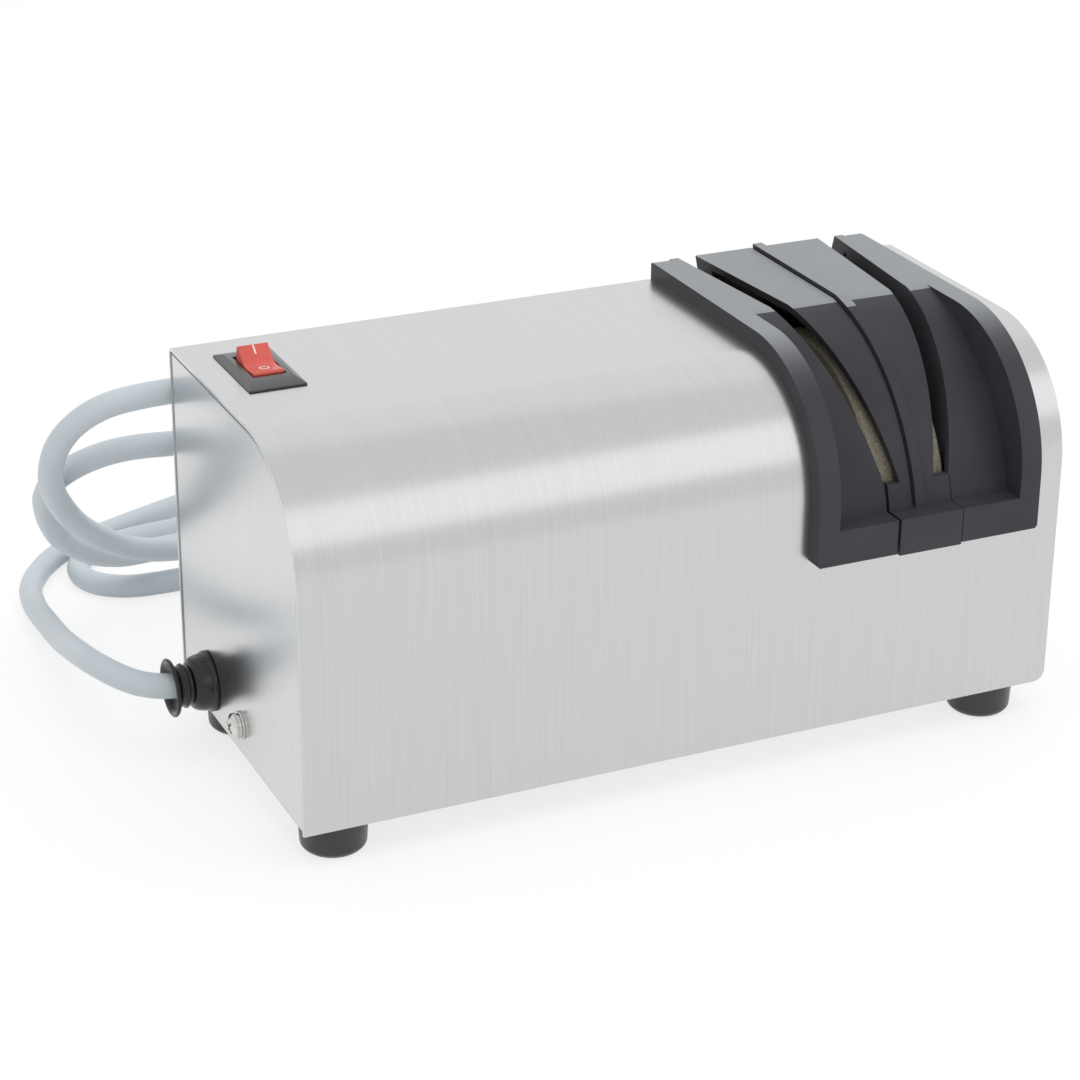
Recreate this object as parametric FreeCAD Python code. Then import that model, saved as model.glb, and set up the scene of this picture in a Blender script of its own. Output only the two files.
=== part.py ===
"""Electric knife sharpener: a folded steel housing with a motor, two sprung grinding wheels
under three black knife guides, a red rocker switch, four rubber feet and a mains cord.

Millimetres, +Z up. The origin is under the middle of the machine, on the surface it stands on.
Most places are given from the housing's lower left front corner, through the function at().
"""
import FreeCAD, Part
import math
import os

V = FreeCAD.Vector
X_AXIS = V(1, 0, 0)
Y_AXIS = V(0, 1, 0)
Z_AXIS = V(0, 0, 1)

# Housing
length = 300.0
depth = 131.0
height = 135.0
sheet = 1.2
front_radius = 46.5
back_radius = 3.0
corner_round = 4.5
seam_gap = 0.15
plate_inset = 0.4
flange_depth = 12.0
base_sheet = 1.5

# Feet
foot_height = 13.0
foot_radius = 12.5
foot_taper = 0.6
foot_edge = 2.0
foot_left_x = 15.5
foot_right_x = length - 20.5
foot_front_y = 13.0
foot_back_y = depth - 19.0

# Screws: shank radius, head radius, head height
screw_fit = 0.08
foot_screw = (2.0, 3.6, 2.4)
base_screw = (1.9, 3.5, 2.0)
base_screw_reach = 6.0
base_screw_front = 39.0
base_screw_back = depth - 50.0
guide_screw = (1.5, 2.8, 1.8)
cradle_screw = (2.0, 3.6, 2.4)
nut_flat = 7.0
nut_height = 3.2

# Knife guides
guide_proud = 6.0
guide_centre = length - 59.2
guide_half = 46.3
rail_width = 8.5
guide_wall = 3.0
side_wall = 2.0
bar_low = height - 67.0
bar_high = height - 53.7
tongue_drop = 0.8
crease_y = 66.4
crease_lean = math.radians(9.55)
recess_radius = 79.0
recess_y = crease_y + recess_radius * math.sin(crease_lean)
recess_z = height + guide_proud - recess_radius * math.cos(crease_lean)
bead_width = 4.0
bead_proud = 1.5
groove_width = 0.7
groove_depth = 0.9
opening_back = depth - 12.0
opening_gap = 0.3
tongue_left = 12.2
tongue_right = 13.7
seam_left = 1.2
seam_right = 0.3

# Knife slots: half distances from the guide centre at slot_y, slot_z, and how they grow
slot_y = 5.4
slot_z = height - 44.0
slot_floor = height - 44.5
slot_outer = 13.5
slot_inner = 7.0
slot_toe = 0.085
slot_lean_outer = 0.21
slot_lean_inner = 0.19
skirt_depth = 16.0
skirt_wall = 2.4

# Shaft and grinding wheels
wheel_radius = 57.0
wheel_set_back = 7.5
shaft_y = wheel_radius + wheel_set_back
shaft_z = height - 64.5
shaft_radius = 6.0
shaft_left = 27.0
shaft_right = guide_centre + 30.2
running_fit = 0.05
wheel_width = 10.0
wheel_face = 15.0
wheel_bore = 10.0
wheel_chamfer = 1.0
hub_flange_radius = 18.0
hub_flange = 3.0
hub_neck_end = 2.8
wheel_travel = 2.0
well_clearance = 2.5
well_side = 1.5
spring_clearance = 0.3
spring_outer = 13.5
collar_radius = 11.0
collar_gap = 0.2
collar_width = 6.0
washer_radius = 11.0
washer_width = 2.0
shaft_nut_flat = 18.0
shaft_nut_width = 8.0
key_width = 4.0
key_height = 4.0
key_seat = 2.5
key_fit = 0.1

# Motor
stator_left = 62.0
stator_length = 45.0
stator_side = 92.0
stator_corner = 9.0
stator_bore = 28.0
air_gap = 0.35
slot_count = 12
slot_depth = 9.0
winding_bar = 2.6
winding_fit = 0.3
winding_inner = 30.0
winding_outer = 40.0
winding_overhang = 9.0
bell_depth = 22.0
bell_cavity = 41.3
bell_end = 8.0
bearing_outer = 14.0
motor_bolt_radius = 2.2
motor_bolt_place = 38.5
fan_left = 28.0
fan_width = 10.0
fan_radius = 38.0
fan_hub = 11.0
fan_blades = 9
fan_blade = 1.8
cradle_sheet = 3.0
cradle_margin = 7.0
cradle_rib = 6.0
rest_gap = 0.15

# Electrical pieces on the base
capacitor_radius = 15.0
capacitor_x = stator_left + stator_length + bell_depth + 13.0
capacitor_length = guide_centre - wheel_face - 28.8 - capacitor_x
capacitor_y = depth - 27.0
clip_width = 12.0
clip_wall = 1.2
block_x = 24.0
block_y = depth - 47.0
block_size = (16.0, 32.0, 14.0)
block_poles = 3
core_radius = 1.5

# Switch
switch_x = 21.9
switch_y = depth - 36.7
bezel_base = (21.5, 40.0)
bezel_rim = (16.3, 29.5)
bezel_height = 2.2
bezel_edge = 0.6
switch_cavity = (12.6, 22.0)
switch_body = (18.6, 36.0)
switch_depth = 21.0
cavity_depth = 13.0
cutout_gap = 0.3
rocker_width = 11.5
rocker_half = 9.4
rocker_end = 5.5
rocker_valley = 2.7
rocker_dip = (2.2, 0.35)
rocker_corner = 1.0
rocker_belly = 5.0
rocker_tilt = 14.0
trunnion_radius = 1.5
trunnion_reach = 1.2
blade_size = (6.3, 0.8, 8.0)
blade_apart = 16.0

# Gland and ground screw on the left end plate
gland_y = depth - 31.0
gland_z = 14.0
gland_base = 11.3
gland_length = 16.0
gland_neck = 7.6
gland_mouth = 10.9
gland_inside = 8.0
gland_hole = 8.0
ground_y = depth - 65.5
ground_z = 12.0
ground_shank = 2.5
ground_head = (4.9, 2.8)
ground_washer = (5.3, 0.8)
ground_lock = (4.6, 0.9)

# Cord: points from the housing's lower left front corner, its radius and the plug
cord_radius = 4.75
cord_lead_points = [
    (-9.8, 100.0, 14.0), (-23.0, 101.0, 14.5), (-34.5, 110.0, 17.5), (-39.5, 126.0, 17.5),
    (-36.0, 149.0, 12.0), (-33.5, 175.0, 3.5), (-31.0, 202.0, -2.0), (-31.5, 230.0, -6.5),
    (-27.5, 259.0, -7.5), (-10.5, 282.5, -8.25), (18.0, 295.0, -8.25), (47.0, 307.0, -8.25),
    (80.0, 320.0, -8.25), (97.0, 324.5, -8.25)]
cord_loop_points = [
    (97.0, 324.5, -8.25), (114.0, 329.0, -8.25), (150.0, 332.0, -8.25), (184.0, 324.0, -8.25),
    (211.0, 303.0, -8.25), (223.0, 271.0, -8.25), (223.0, 239.0, -4.0), (211.0, 210.0, 15.0), (191.0, 185.0, 43.0),
    (164.0, 165.0, 72.0), (131.0, 151.0, 94.0), (95.0, 143.0, 108.0), (59.0, 139.5, 114.0),
    (26.0, 138.0, 114.0), (-4.0, 137.0, 115.5), (-25.5, 142.5, 111.0), (-38.5, 151.5, 96.0),
    (-40.0, 161.0, 75.5), (-29.5, 174.0, 55.5), (-16.0, 194.0, 38.0), (6.0, 208.0, 20.5),
    (36.0, 219.0, 12.5), (69.0, 220.0, 13.5), (96.0, 209.5, 29.0), (107.0, 191.0, 53.0),
    (99.5, 172.0, 77.0), (76.5, 158.0, 92.5), (46.0, 154.0, 95.0), (16.0, 153.5, 86.5),
    (-11.0, 160.0, 86.5), (-28.5, 170.5, 77.5), (-36.0, 184.0, 63.5), (-32.5, 196.5, 47.5),
    (-23.5, 211.0, 29.0), (-2.5, 223.5, 12.5), (24.0, 236.0, 7.0), (54.0, 244.0, 5.0),
    (84.0, 242.0, -3.5), (116.0, 233.0, -8.25), (149.0, 232.0, -8.25), (176.0, 247.0, -8.25),
    (186.0, 275.0, -8.25), (173.0, 301.0, -8.25), (145.0, 312.0, -8.25), (115.0, 305.0, -8.25),
    (101.5, 299.5, -8.25)]
cord_tail_points = [
    (101.5, 299.5, -8.25), (88.0, 294.0, -8.25), (64.0, 286.5, -8.25), (42.0, 286.0, -8.25),
    (22.0, 284.0, -8.25), (5.0, 277.0, -8.25), (-4.5, 264.0, -8.25), (-4.0, 248.5, -8.25),
    (8.0, 237.5, -8.25), (25.5, 235.5, -8.25), (48.0, 237.0, -8.25), (73.0, 227.0, -8.25),
    (98.0, 211.0, -8.25), (126.0, 196.0, -8.25), (155.0, 185.0, -8.25), (183.0, 185.0, -8.25)]
plug_length = 38.0
plug_width = 27.0
plug_thick = 16.0
plug_pin = (16.0, 6.3, 1.6)
plug_pin_apart = 12.7

# Places in the model's own frame
head_proud = ground_washer[1] + ground_lock[1] + ground_head[1] - plate_inset
left = head_proud - (length + head_proud) / 2
front = guide_proud - (depth + guide_proud) / 2
bottom = foot_height
BIG = 2.0 * length
past = 20.0


def at(x, y, z):
    """A point measured from the housing's lower left front corner."""
    return V(left + x, front + y, bottom + z)


def box(x0, x1, y0, y1, z0, z1):
    return Part.makeBox(x1 - x0, y1 - y0, z1 - z0, at(x0, y0, z0))


def cylinder_x(radius, x0, x1, y, z):
    return Part.makeCylinder(radius, x1 - x0, at(x0, y, z), X_AXIS)


def cylinder_z(radius, x, y, z0, z1):
    return Part.makeCylinder(radius, z1 - z0, at(x, y, z0), Z_AXIS)


def along_x(face, distance):
    return face.extrude(V(distance, 0, 0))


def polygon(points):
    return Part.Face(Part.makePolygon(points + [points[0]]))


def turned(profile, base, axis):
    """A solid of revolution: profile holds (distance along the axis, radius) pairs."""
    side = V(0, 0, 1) if abs(axis.z) < 0.5 else V(1, 0, 0)
    points = [base + axis * along + side * radius for along, radius in profile]
    return polygon(points).revolve(base, axis, 360)


def hexagon_x(flat, x0, x1, y, z):
    radius = flat / math.sqrt(3)
    points = [at(x0, y + radius * math.cos(math.radians(60 * k)), z + radius * math.sin(math.radians(60 * k)))
              for k in range(6)]
    return along_x(polygon(points), x1 - x0)


def hexagon_z(flat, x, y, z0, z1):
    radius = flat / math.sqrt(3)
    points = [at(x + radius * math.cos(math.radians(60 * k)), y + radius * math.sin(math.radians(60 * k)), z0)
              for k in range(6)]
    return polygon(points).extrude(V(0, 0, z1 - z0))


def hexahedron(low, high):
    """A solid between two four-sided outlines that have matching corners."""
    faces = [polygon(low), polygon(high)]
    for k in range(4):
        n = (k + 1) % 4
        faces.append(polygon([low[k], low[n], high[n], high[k]]))
    return Part.makeSolid(Part.makeShell(faces))


def fuse(first, *others):
    return first.fuse(list(others)).removeSplitter()


def save(name, shape):
    solids = shape.Solids
    if not solids or not all(solid.isValid() for solid in solids):
        raise RuntimeError(name + " is not a valid solid")
    result = solids[0] if len(solids) == 1 else Part.makeCompound(solids)
    result.exportStep("parts/" + name + ".step")
    print(name, len(solids), "solids, volume", round(result.Volume, 1))


def housing_face(inset, x, low=0.0):
    """The housing's end outline, moved inwards by inset, as a face across X."""
    radius = front_radius - inset
    top = height - inset
    rear = depth - inset
    bend = back_radius - inset
    high = height - front_radius
    half = math.sqrt(0.5)
    edges = [
        Part.makeLine(at(x, inset, low), at(x, inset, high)),
        Part.Arc(at(x, inset, high), at(x, front_radius - radius * half, high + radius * half),
                 at(x, front_radius, top)).toShape(),
        Part.makeLine(at(x, front_radius, top), at(x, depth - back_radius, top)),
        Part.Arc(at(x, depth - back_radius, top),
                 at(x, depth - back_radius + bend * half, height - back_radius + bend * half),
                 at(x, rear, height - back_radius)).toShape(),
        Part.makeLine(at(x, rear, height - back_radius), at(x, rear, low)),
        Part.makeLine(at(x, rear, low), at(x, inset, low))]
    return Part.Face(Part.Wire(edges))


def recess_face(drop, x, low):
    """What lies under the guides' inner surface, moved inwards by drop, as a face across X."""
    radius = recess_radius - drop
    flat = height + guide_proud - drop
    crease_y = recess_y - math.sqrt(radius ** 2 - (flat - recess_z) ** 2)
    low_y = recess_y - math.sqrt(radius ** 2 - (low - recess_z) ** 2)
    middle_z = (flat + low) / 2
    middle_y = recess_y - math.sqrt(radius ** 2 - (middle_z - recess_z) ** 2)
    edges = [
        Part.Arc(at(x, low_y, low), at(x, middle_y, middle_z), at(x, crease_y, flat)).toShape(),
        Part.makeLine(at(x, crease_y, flat), at(x, depth, flat)),
        Part.makeLine(at(x, depth, flat), at(x, depth, low)),
        Part.makeLine(at(x, depth, low), at(x, low_y, low))]
    return Part.Face(Part.Wire(edges))


opening_low = bar_high - guide_wall - opening_gap
rail_inner = guide_half - rail_width
opening_half = rail_inner + side_wall + opening_gap


def wrapper():
    shell = along_x(housing_face(0.0, 0.0), length)
    shell = shell.cut(along_x(housing_face(sheet, -1.0, -1.0), length + 2.0))
    hole = box(guide_centre - opening_half, guide_centre + opening_half, -past, opening_back,
               opening_low, height + past)
    seat = box(switch_x - switch_body[0] / 2 - cutout_gap, switch_x + switch_body[0] / 2 + cutout_gap,
               switch_y - switch_body[1] / 2 - cutout_gap, switch_y + switch_body[1] / 2 + cutout_gap,
               height - 10.0, height + 10.0)
    corner = box(length - corner_round, length + 1.0, -1.0, depth + 1.0, -1.0, corner_round)
    corner = corner.cut(Part.makeCylinder(corner_round, depth + 4.0,
                                          at(length - corner_round, -2.0, corner_round), Y_AXIS))
    shell = shell.cut([hole, seat, corner])
    for x, z, inner in guide_screw_places():
        shell = shell.cut(guide_screw_hole(x, inner, guide_screw[0] + screw_fit))
    return shell


def end_plate(x0, towards):
    """A plate with a folded rim; x0 is its outer face and towards is +1 or -1."""
    gap = sheet + seam_gap
    rim_low = base_sheet + rest_gap
    plate = along_x(housing_face(gap, x0), towards * sheet)
    rim = along_x(housing_face(gap, x0, rim_low), towards * flange_depth)
    rim = rim.cut(along_x(housing_face(gap + sheet, x0 - towards, rim_low + sheet),
                          towards * (flange_depth + 2.0)))
    return plate.fuse(rim)


def base_screw_places():
    inset = plate_inset + flange_depth / 2 + sheet / 2
    return [(x, y) for x in (inset, length - inset) for y in (base_screw_front, base_screw_back)]


def left_end_plate():
    plate = end_plate(plate_inset, 1.0)
    holes = [cylinder_x(gland_hole + screw_fit, -2.0, 6.0, gland_y, gland_z),
             cylinder_x(ground_shank + screw_fit, -2.0, 6.0, ground_y, ground_z)]
    return drill_base_holes(plate.cut(holes)).removeSplitter()


def right_end_plate():
    return drill_base_holes(end_plate(length - plate_inset, -1.0)).removeSplitter()


def drill_base_holes(shape):
    for x, y in base_screw_places():
        shape = shape.cut(cylinder_z(base_screw[0] + screw_fit, x, y, -5.0, 10.0))
    for x, y in foot_places().values():
        shape = shape.cut(cylinder_z(nut_flat / math.sqrt(3) + 0.8, x, y, base_sheet, 8.0))
    return shape


def base_plate():
    side = plate_inset + sheet + seam_gap
    edge = sheet + seam_gap
    plate = box(side, length - side, edge, depth - edge, 0.0, base_sheet)
    holes = [cylinder_z(foot_screw[0] + screw_fit, x, y, -2.0, 4.0) for x, y in foot_places().values()]
    holes += [cylinder_z(base_screw[0] + screw_fit, x, y, -2.0, 4.0) for x, y in base_screw_places()]
    holes += [cylinder_z(cradle_screw[0] + screw_fit, x, y, -2.0, 4.0) for x, y in cradle_screw_places()]
    holes.append(cylinder_z(guide_screw[0] + screw_fit, *clip_screw_place(), -2.0, 4.0))
    return plate.cut(holes)


def base_screws():
    shank, head, tall = base_screw
    screws = []
    for x, y in base_screw_places():
        pin = cylinder_z(shank, x, y, 0.0, base_sheet + base_screw_reach)
        cap = turned([(0.0, 0.0), (0.0, head), (-tall * 0.5, head * 0.9), (-tall, head * 0.45), (-tall, 0.0)],
                     at(x, y, 0.0), Z_AXIS)
        screws.append(pin.fuse(cap))
    return Part.makeCompound(screws)


def foot_places():
    return {"foot_front_left": (foot_left_x, foot_front_y), "foot_front_right": (foot_right_x, foot_front_y),
            "foot_back_left": (foot_left_x, foot_back_y), "foot_back_right": (foot_right_x, foot_back_y)}


def foot(x, y):
    sole = foot_radius - foot_taper
    profile = [(0.0, 0.0), (0.0, foot_radius), (-foot_height + foot_edge, sole),
               (-foot_height, sole - foot_edge), (-foot_height, 0.0)]
    body = turned(profile, at(x, y, 0.0), Z_AXIS)
    pocket = cylinder_z(foot_screw[1] + 0.6, x, y, -foot_height - 1.0, -foot_height / 2)
    bore = cylinder_z(foot_screw[0] + screw_fit, x, y, -foot_height, 1.0)
    return body.cut([pocket, bore])


def foot_screws():
    shank, head, tall = foot_screw
    screws = []
    for x, y in foot_places().values():
        pin = cylinder_z(shank, x, y, -foot_height / 2, base_sheet + nut_height + 1.0)
        cap = cylinder_z(head, x, y, -foot_height / 2 - tall, -foot_height / 2)
        cross = box(x - 0.5, x + 0.5, y - 2.2, y + 2.2, -BIG, -foot_height / 2 - tall + 1.2)
        screws.append(pin.fuse(cap).cut([cross, quarter_turn(cross, x, y)]))
    return Part.makeCompound(screws)


def quarter_turn(shape, x, y):
    copy = shape.copy()
    copy.rotate(at(x, y, 0.0), Z_AXIS, 90)
    return copy


def foot_nuts():
    nuts = []
    for x, y in foot_places().values():
        nut = hexagon_z(nut_flat, x, y, base_sheet, base_sheet + nut_height)
        nuts.append(nut.cut(cylinder_z(foot_screw[0] + screw_fit, x, y, 0.0, 10.0)))
    return Part.makeCompound(nuts)


def guide_screw_places():
    """x, z and where the screw's head rests: the housing's top or its front wall."""
    side = guide_half - rail_width / 2
    places = []
    for x in (guide_centre - side, guide_centre, guide_centre + side):
        places.append((x, height, "top"))
        places.append((x, (bar_low + opening_low) / 2, "front"))
    return places


def guide_screw_hole(x, inner, radius, reach=None):
    reach = guide_proud - 1.2 if reach is None else reach
    if inner == "top":
        return cylinder_z(radius, x, (opening_back + depth) / 2, height - sheet - 0.01, height + reach)
    z = (bar_low + opening_low) / 2
    return Part.makeCylinder(radius, sheet + reach + 0.01, at(x, sheet + 0.01, z), V(0, -1, 0))


def guide_screws():
    shank, head, tall = guide_screw
    screws = []
    for x, z, inner in guide_screw_places():
        pin = guide_screw_hole(x, inner, shank, guide_proud - 1.6)
        if inner == "top":
            cap = cylinder_z(head, x, (opening_back + depth) / 2, height - sheet - tall, height - sheet)
        else:
            cap = Part.makeCylinder(head, tall, at(x, sheet, z), Y_AXIS)
        screws.append(pin.fuse(cap))
    return Part.makeCompound(screws)


def slot_half(wall, y, z):
    """Distance from the guide centre to a knife slot's inner or outer wall."""
    start, lean = (slot_outer, slot_lean_outer) if wall == "outer" else (slot_inner, slot_lean_inner)
    return start + slot_toe * (y - slot_y) + lean * (z - slot_z)


def leaning_block(low_half, high_half, low_z, high_z):
    """A block on the right of the guide centre between two half-distance functions of y and z."""
    y0, y1 = -past, depth + past
    outlines = []
    for y in (y0, y1):
        outlines.append([at(guide_centre + low_half(y, low_z), y, low_z),
                         at(guide_centre + high_half(y, low_z), y, low_z),
                         at(guide_centre + high_half(y, high_z), y, high_z),
                         at(guide_centre + low_half(y, high_z), y, high_z)])
    return hexahedron(outlines[0], outlines[1])


def on_side(shape, side):
    """The shape itself on the right, or its mirror image on the left."""
    return shape if side > 0 else shape.mirror(at(guide_centre, 0, 0), X_AXIS)


def outer_wall(y, z):
    return slot_half("outer", y, z)


def inner_wall(y, z):
    return slot_half("inner", y, z)


def skirt_back(y, z):
    return slot_half("outer", y, z) + skirt_wall


def wheel_well():
    reach = wheel_face + well_side
    return cylinder_x(wheel_radius + well_clearance, guide_centre - reach, guide_centre + reach,
                      shaft_y, shaft_z)


def guide_fixing_holes():
    return [guide_screw_hole(x, inner, guide_screw[0] + screw_fit) for x, z, inner in guide_screw_places()]


def side_guide(side, seam_half):
    """One outer guide: a rail on the steel, a side wall, a sunk cheek, a bar and a slot skirt."""
    x_in = guide_centre + rail_inner
    x_out = guide_centre + guide_half
    low = bar_high - guide_wall
    skin = along_x(housing_face(-guide_proud, x_in, bar_low), rail_width)
    skin = skin.cut(along_x(housing_face(0.0, x_in - 1.0, bar_low - 1.0), rail_width + 2.0))
    rail = skin.common(box(x_in, x_out, -past, depth, bar_low, height + past))
    wall = along_x(housing_face(-guide_proud, x_in, low), side_wall)
    wall = wall.cut(along_x(recess_face(guide_wall, x_in - 1.0, low - 1.0), side_wall + 2.0))
    wall = wall.common(box(x_in, x_in + side_wall, -past, depth, low, height + past))
    shell = along_x(recess_face(0.0, guide_centre, low), rail_inner + 0.5)
    shell = shell.cut(along_x(recess_face(guide_wall, guide_centre - 1.0, low - 1.0), rail_inner + 2.5))
    beside_slot = leaning_block(outer_wall, lambda y, z: rail_inner + 0.5, slot_floor, height + past)
    under_slot = box(guide_centre + seam_half, x_in + 0.5, -past, depth, low, slot_floor)
    cheek = shell.common(beside_slot.fuse(under_slot))
    foot_block = box(guide_centre, x_in + 0.5, opening_back + 1.0, depth, height, height + guide_proud - 1.0)
    foot_block = foot_block.common(beside_slot)
    bar = box(guide_centre + seam_half, x_out, -guide_proud, 0.0, bar_low, bar_high)
    ledge_back = recess_y - math.sqrt((recess_radius - guide_wall) ** 2 - (low - recess_z) ** 2)
    ledge = box(guide_centre + seam_half, x_in + side_wall, -guide_proud, ledge_back, low, bar_high)
    skirt = along_x(recess_face(0.5, guide_centre, slot_floor), rail_inner)
    skirt = skirt.cut(along_x(recess_face(skirt_depth, guide_centre - 1.0, slot_floor - 1.0), rail_inner + 2.0))
    skirt = skirt.common(leaning_block(outer_wall, skirt_back, slot_floor, height + past))
    skirt = skirt.common(box(guide_centre, x_out, -past, opening_back - 1.0, slot_floor, height + past))
    body = fuse(rail, wall, cheek, foot_block, bar, ledge, skirt)
    corner = hexahedron(
        [at(x_out - 2.0, -BIG, bar_low - 1.0), at(x_out + 1.0, -BIG, bar_low - 1.0),
         at(x_out + 1.0, -BIG, bar_low + 2.0), at(x_out + 0.99, -BIG, bar_low + 2.0)],
        [at(x_out - 2.0, past, bar_low - 1.0), at(x_out + 1.0, past, bar_low - 1.0),
         at(x_out + 1.0, past, bar_low + 2.0), at(x_out + 0.99, past, bar_low + 2.0)])
    body = on_side(body.cut(corner), side)
    return body.cut([wheel_well()] + guide_fixing_holes())


def centre_guide():
    """The block between the slots, with its bead and the full-width tongue below."""
    low = bar_high - guide_wall
    reach = slot_half("outer", depth, height) + 5.0
    shell = along_x(recess_face(0.0, guide_centre - reach, low), 2 * reach)
    shell = shell.cut(along_x(recess_face(guide_wall, guide_centre - reach - 1.0, low - 1.0), 2 * reach + 2.0))
    right_half = leaning_block(lambda y, z: -1.0, inner_wall, slot_floor, height + past)
    between = right_half.fuse(on_side(right_half, -1))
    under = box(guide_centre - tongue_left, guide_centre + tongue_right, -past, depth, low, slot_floor)
    top = shell.common(between.fuse(under))
    foot_block = box(guide_centre - reach, guide_centre + reach, opening_back + 1.0, depth, height,
                     height + guide_proud - 1.0).common(between)
    tongue = box(guide_centre - tongue_left, guide_centre + tongue_right, -guide_proud, 0.0,
                 bar_low - tongue_drop, bar_high)
    ledge_back = recess_y - math.sqrt((recess_radius - guide_wall) ** 2 - (low - recess_z) ** 2)
    ledge = box(guide_centre - tongue_left, guide_centre + tongue_right, -guide_proud, ledge_back, low, bar_high)
    bead = along_x(recess_face(-bead_proud, guide_centre - bead_width / 2, bar_high), bead_width)
    bead = bead.cut(along_x(recess_face(0.5, guide_centre - bead_width, bar_high - 1.0), 2 * bead_width))
    bead = bead.common(box(guide_centre - bead_width, guide_centre + bead_width, -past, depth,
                           bar_high, height + past))
    groove_x = guide_centre - bead_width / 2 - groove_width
    groove = along_x(recess_face(-1.0, groove_x, bar_high + 1.0), groove_width)
    groove = groove.cut(along_x(recess_face(groove_depth, groove_x - 1.0, bar_high), groove_width + 2.0))
    body = fuse(top, foot_block, tongue, ledge, bead).cut(groove)
    return body.cut([wheel_well()] + guide_fixing_holes())


def shaft():
    rod = cylinder_x(shaft_radius, shaft_left, shaft_right, shaft_y, shaft_z)
    return rod.cut(key_box(key_fit / 2))


def key_span():
    return guide_centre - wheel_face - hub_flange, guide_centre + wheel_face + hub_flange


def key_box(margin):
    x0, x1 = key_span()
    low = shaft_radius - key_seat
    return box(x0 - margin, x1 + margin, shaft_y - key_width / 2 - margin, shaft_y + key_width / 2 + margin,
               shaft_z + low - margin, shaft_z + low + key_height + margin)


def drive_key():
    return key_box(0.0)


def wheel_hub(side):
    """A flanged hub that slides along the key; its neck carries the wheel."""
    outer = wheel_face + hub_flange
    neck = wheel_bore - running_fit
    body = cylinder_x(neck, guide_centre + hub_neck_end, guide_centre + outer, shaft_y, shaft_z)
    flange = cylinder_x(hub_flange_radius, guide_centre + wheel_face, guide_centre + outer, shaft_y, shaft_z)
    bore = cylinder_x(shaft_radius + running_fit, guide_centre, guide_centre + 2 * outer, shaft_y, shaft_z)
    keyway = key_box(key_fit)
    hub = body.fuse(flange).cut([bore, keyway])
    return on_side(hub, side).cut(keyway)


def wheel(side):
    """A grinding disc with a bevelled rim on both faces."""
    inner = wheel_face - wheel_width
    profile = [(inner, wheel_bore), (inner, wheel_radius - wheel_chamfer), (inner + wheel_chamfer, wheel_radius),
               (wheel_face - wheel_chamfer, wheel_radius), (wheel_face, wheel_radius - wheel_chamfer),
               (wheel_face, wheel_bore)]
    return on_side(turned(profile, at(guide_centre, shaft_y, shaft_z), X_AXIS), side)


def wheel_spring():
    reach = wheel_face - wheel_width - spring_clearance
    sleeve = cylinder_x(spring_outer, guide_centre - reach, guide_centre + reach, shaft_y, shaft_z)
    return sleeve.cut(cylinder_x(wheel_bore + spring_clearance, guide_centre - BIG, guide_centre + BIG,
                                 shaft_y, shaft_z))


def stop_collar():
    x1 = guide_centre - wheel_face - hub_flange - collar_gap
    ring = cylinder_x(collar_radius, x1 - collar_width, x1, shaft_y, shaft_z)
    return ring.cut(cylinder_x(shaft_radius + running_fit, x1 - BIG, x1 + 1.0, shaft_y, shaft_z))


def shaft_washer():
    x0 = guide_centre + wheel_face + hub_flange + collar_gap
    ring = cylinder_x(washer_radius, x0, x0 + washer_width, shaft_y, shaft_z)
    return ring.cut(cylinder_x(shaft_radius + running_fit, x0 - 1.0, x0 + BIG, shaft_y, shaft_z))


def shaft_nut():
    x0 = guide_centre + wheel_face + hub_flange + collar_gap + washer_width
    nut = hexagon_x(shaft_nut_flat, x0, x0 + shaft_nut_width, shaft_y, shaft_z)
    return nut.cut(cylinder_x(shaft_radius + running_fit, x0 - 1.0, x0 + BIG, shaft_y, shaft_z))


def rounded_square_x(side, corner, x0, x1):
    half = side / 2
    block = box(x0, x1, shaft_y - half, shaft_y + half, shaft_z - half, shaft_z + half)
    edges = [edge for edge in block.Edges if abs(edge.tangentAt(edge.FirstParameter).x) > 0.9]
    return block.makeFillet(corner, edges)


def motor_bolt_places():
    return [(shaft_y + a * motor_bolt_place, shaft_z + b * motor_bolt_place) for a in (-1, 1) for b in (-1, 1)]


def around_shaft(shape, count):
    copies = []
    for k in range(count):
        copy = shape.copy()
        copy.rotate(at(0, shaft_y, shaft_z), X_AXIS, 360.0 * k / count)
        copies.append(copy)
    return copies


def bolt_holes(x0, x1):
    return [cylinder_x(motor_bolt_radius + screw_fit, x0, x1, y, z) for y, z in motor_bolt_places()]


def stator_stack():
    x1 = stator_left + stator_length
    block = rounded_square_x(stator_side, stator_corner, stator_left, x1)
    bore = cylinder_x(stator_bore, stator_left - 1.0, x1 + 1.0, shaft_y, shaft_z)
    half = winding_bar / 2 + winding_fit
    pocket = box(stator_left - 1.0, x1 + 1.0, shaft_y - half, shaft_y + half,
                 shaft_z + winding_inner - winding_fit, shaft_z + winding_inner + slot_depth)
    return block.cut([bore] + around_shaft(pocket, slot_count) + bolt_holes(stator_left - 1.0, x1 + 1.0))


def stator_winding():
    """Copper end turns on both faces of the stack, joined by bars through its slots."""
    x1 = stator_left + stator_length
    rings = []
    for start in (stator_left - winding_fit - winding_overhang, x1 + winding_fit):
        ring = cylinder_x(winding_outer, start, start + winding_overhang, shaft_y, shaft_z)
        ring = ring.cut(cylinder_x(winding_inner, start - 1.0, start + winding_overhang + 1.0, shaft_y, shaft_z))
        rings.append(ring)
    half = winding_bar / 2
    bar = box(stator_left - 2.0, x1 + 2.0, shaft_y - half, shaft_y + half,
              shaft_z + winding_inner + winding_fit, shaft_z + winding_inner + slot_depth - winding_fit)
    return fuse(rings[0], rings[1], *around_shaft(bar, slot_count))


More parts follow.
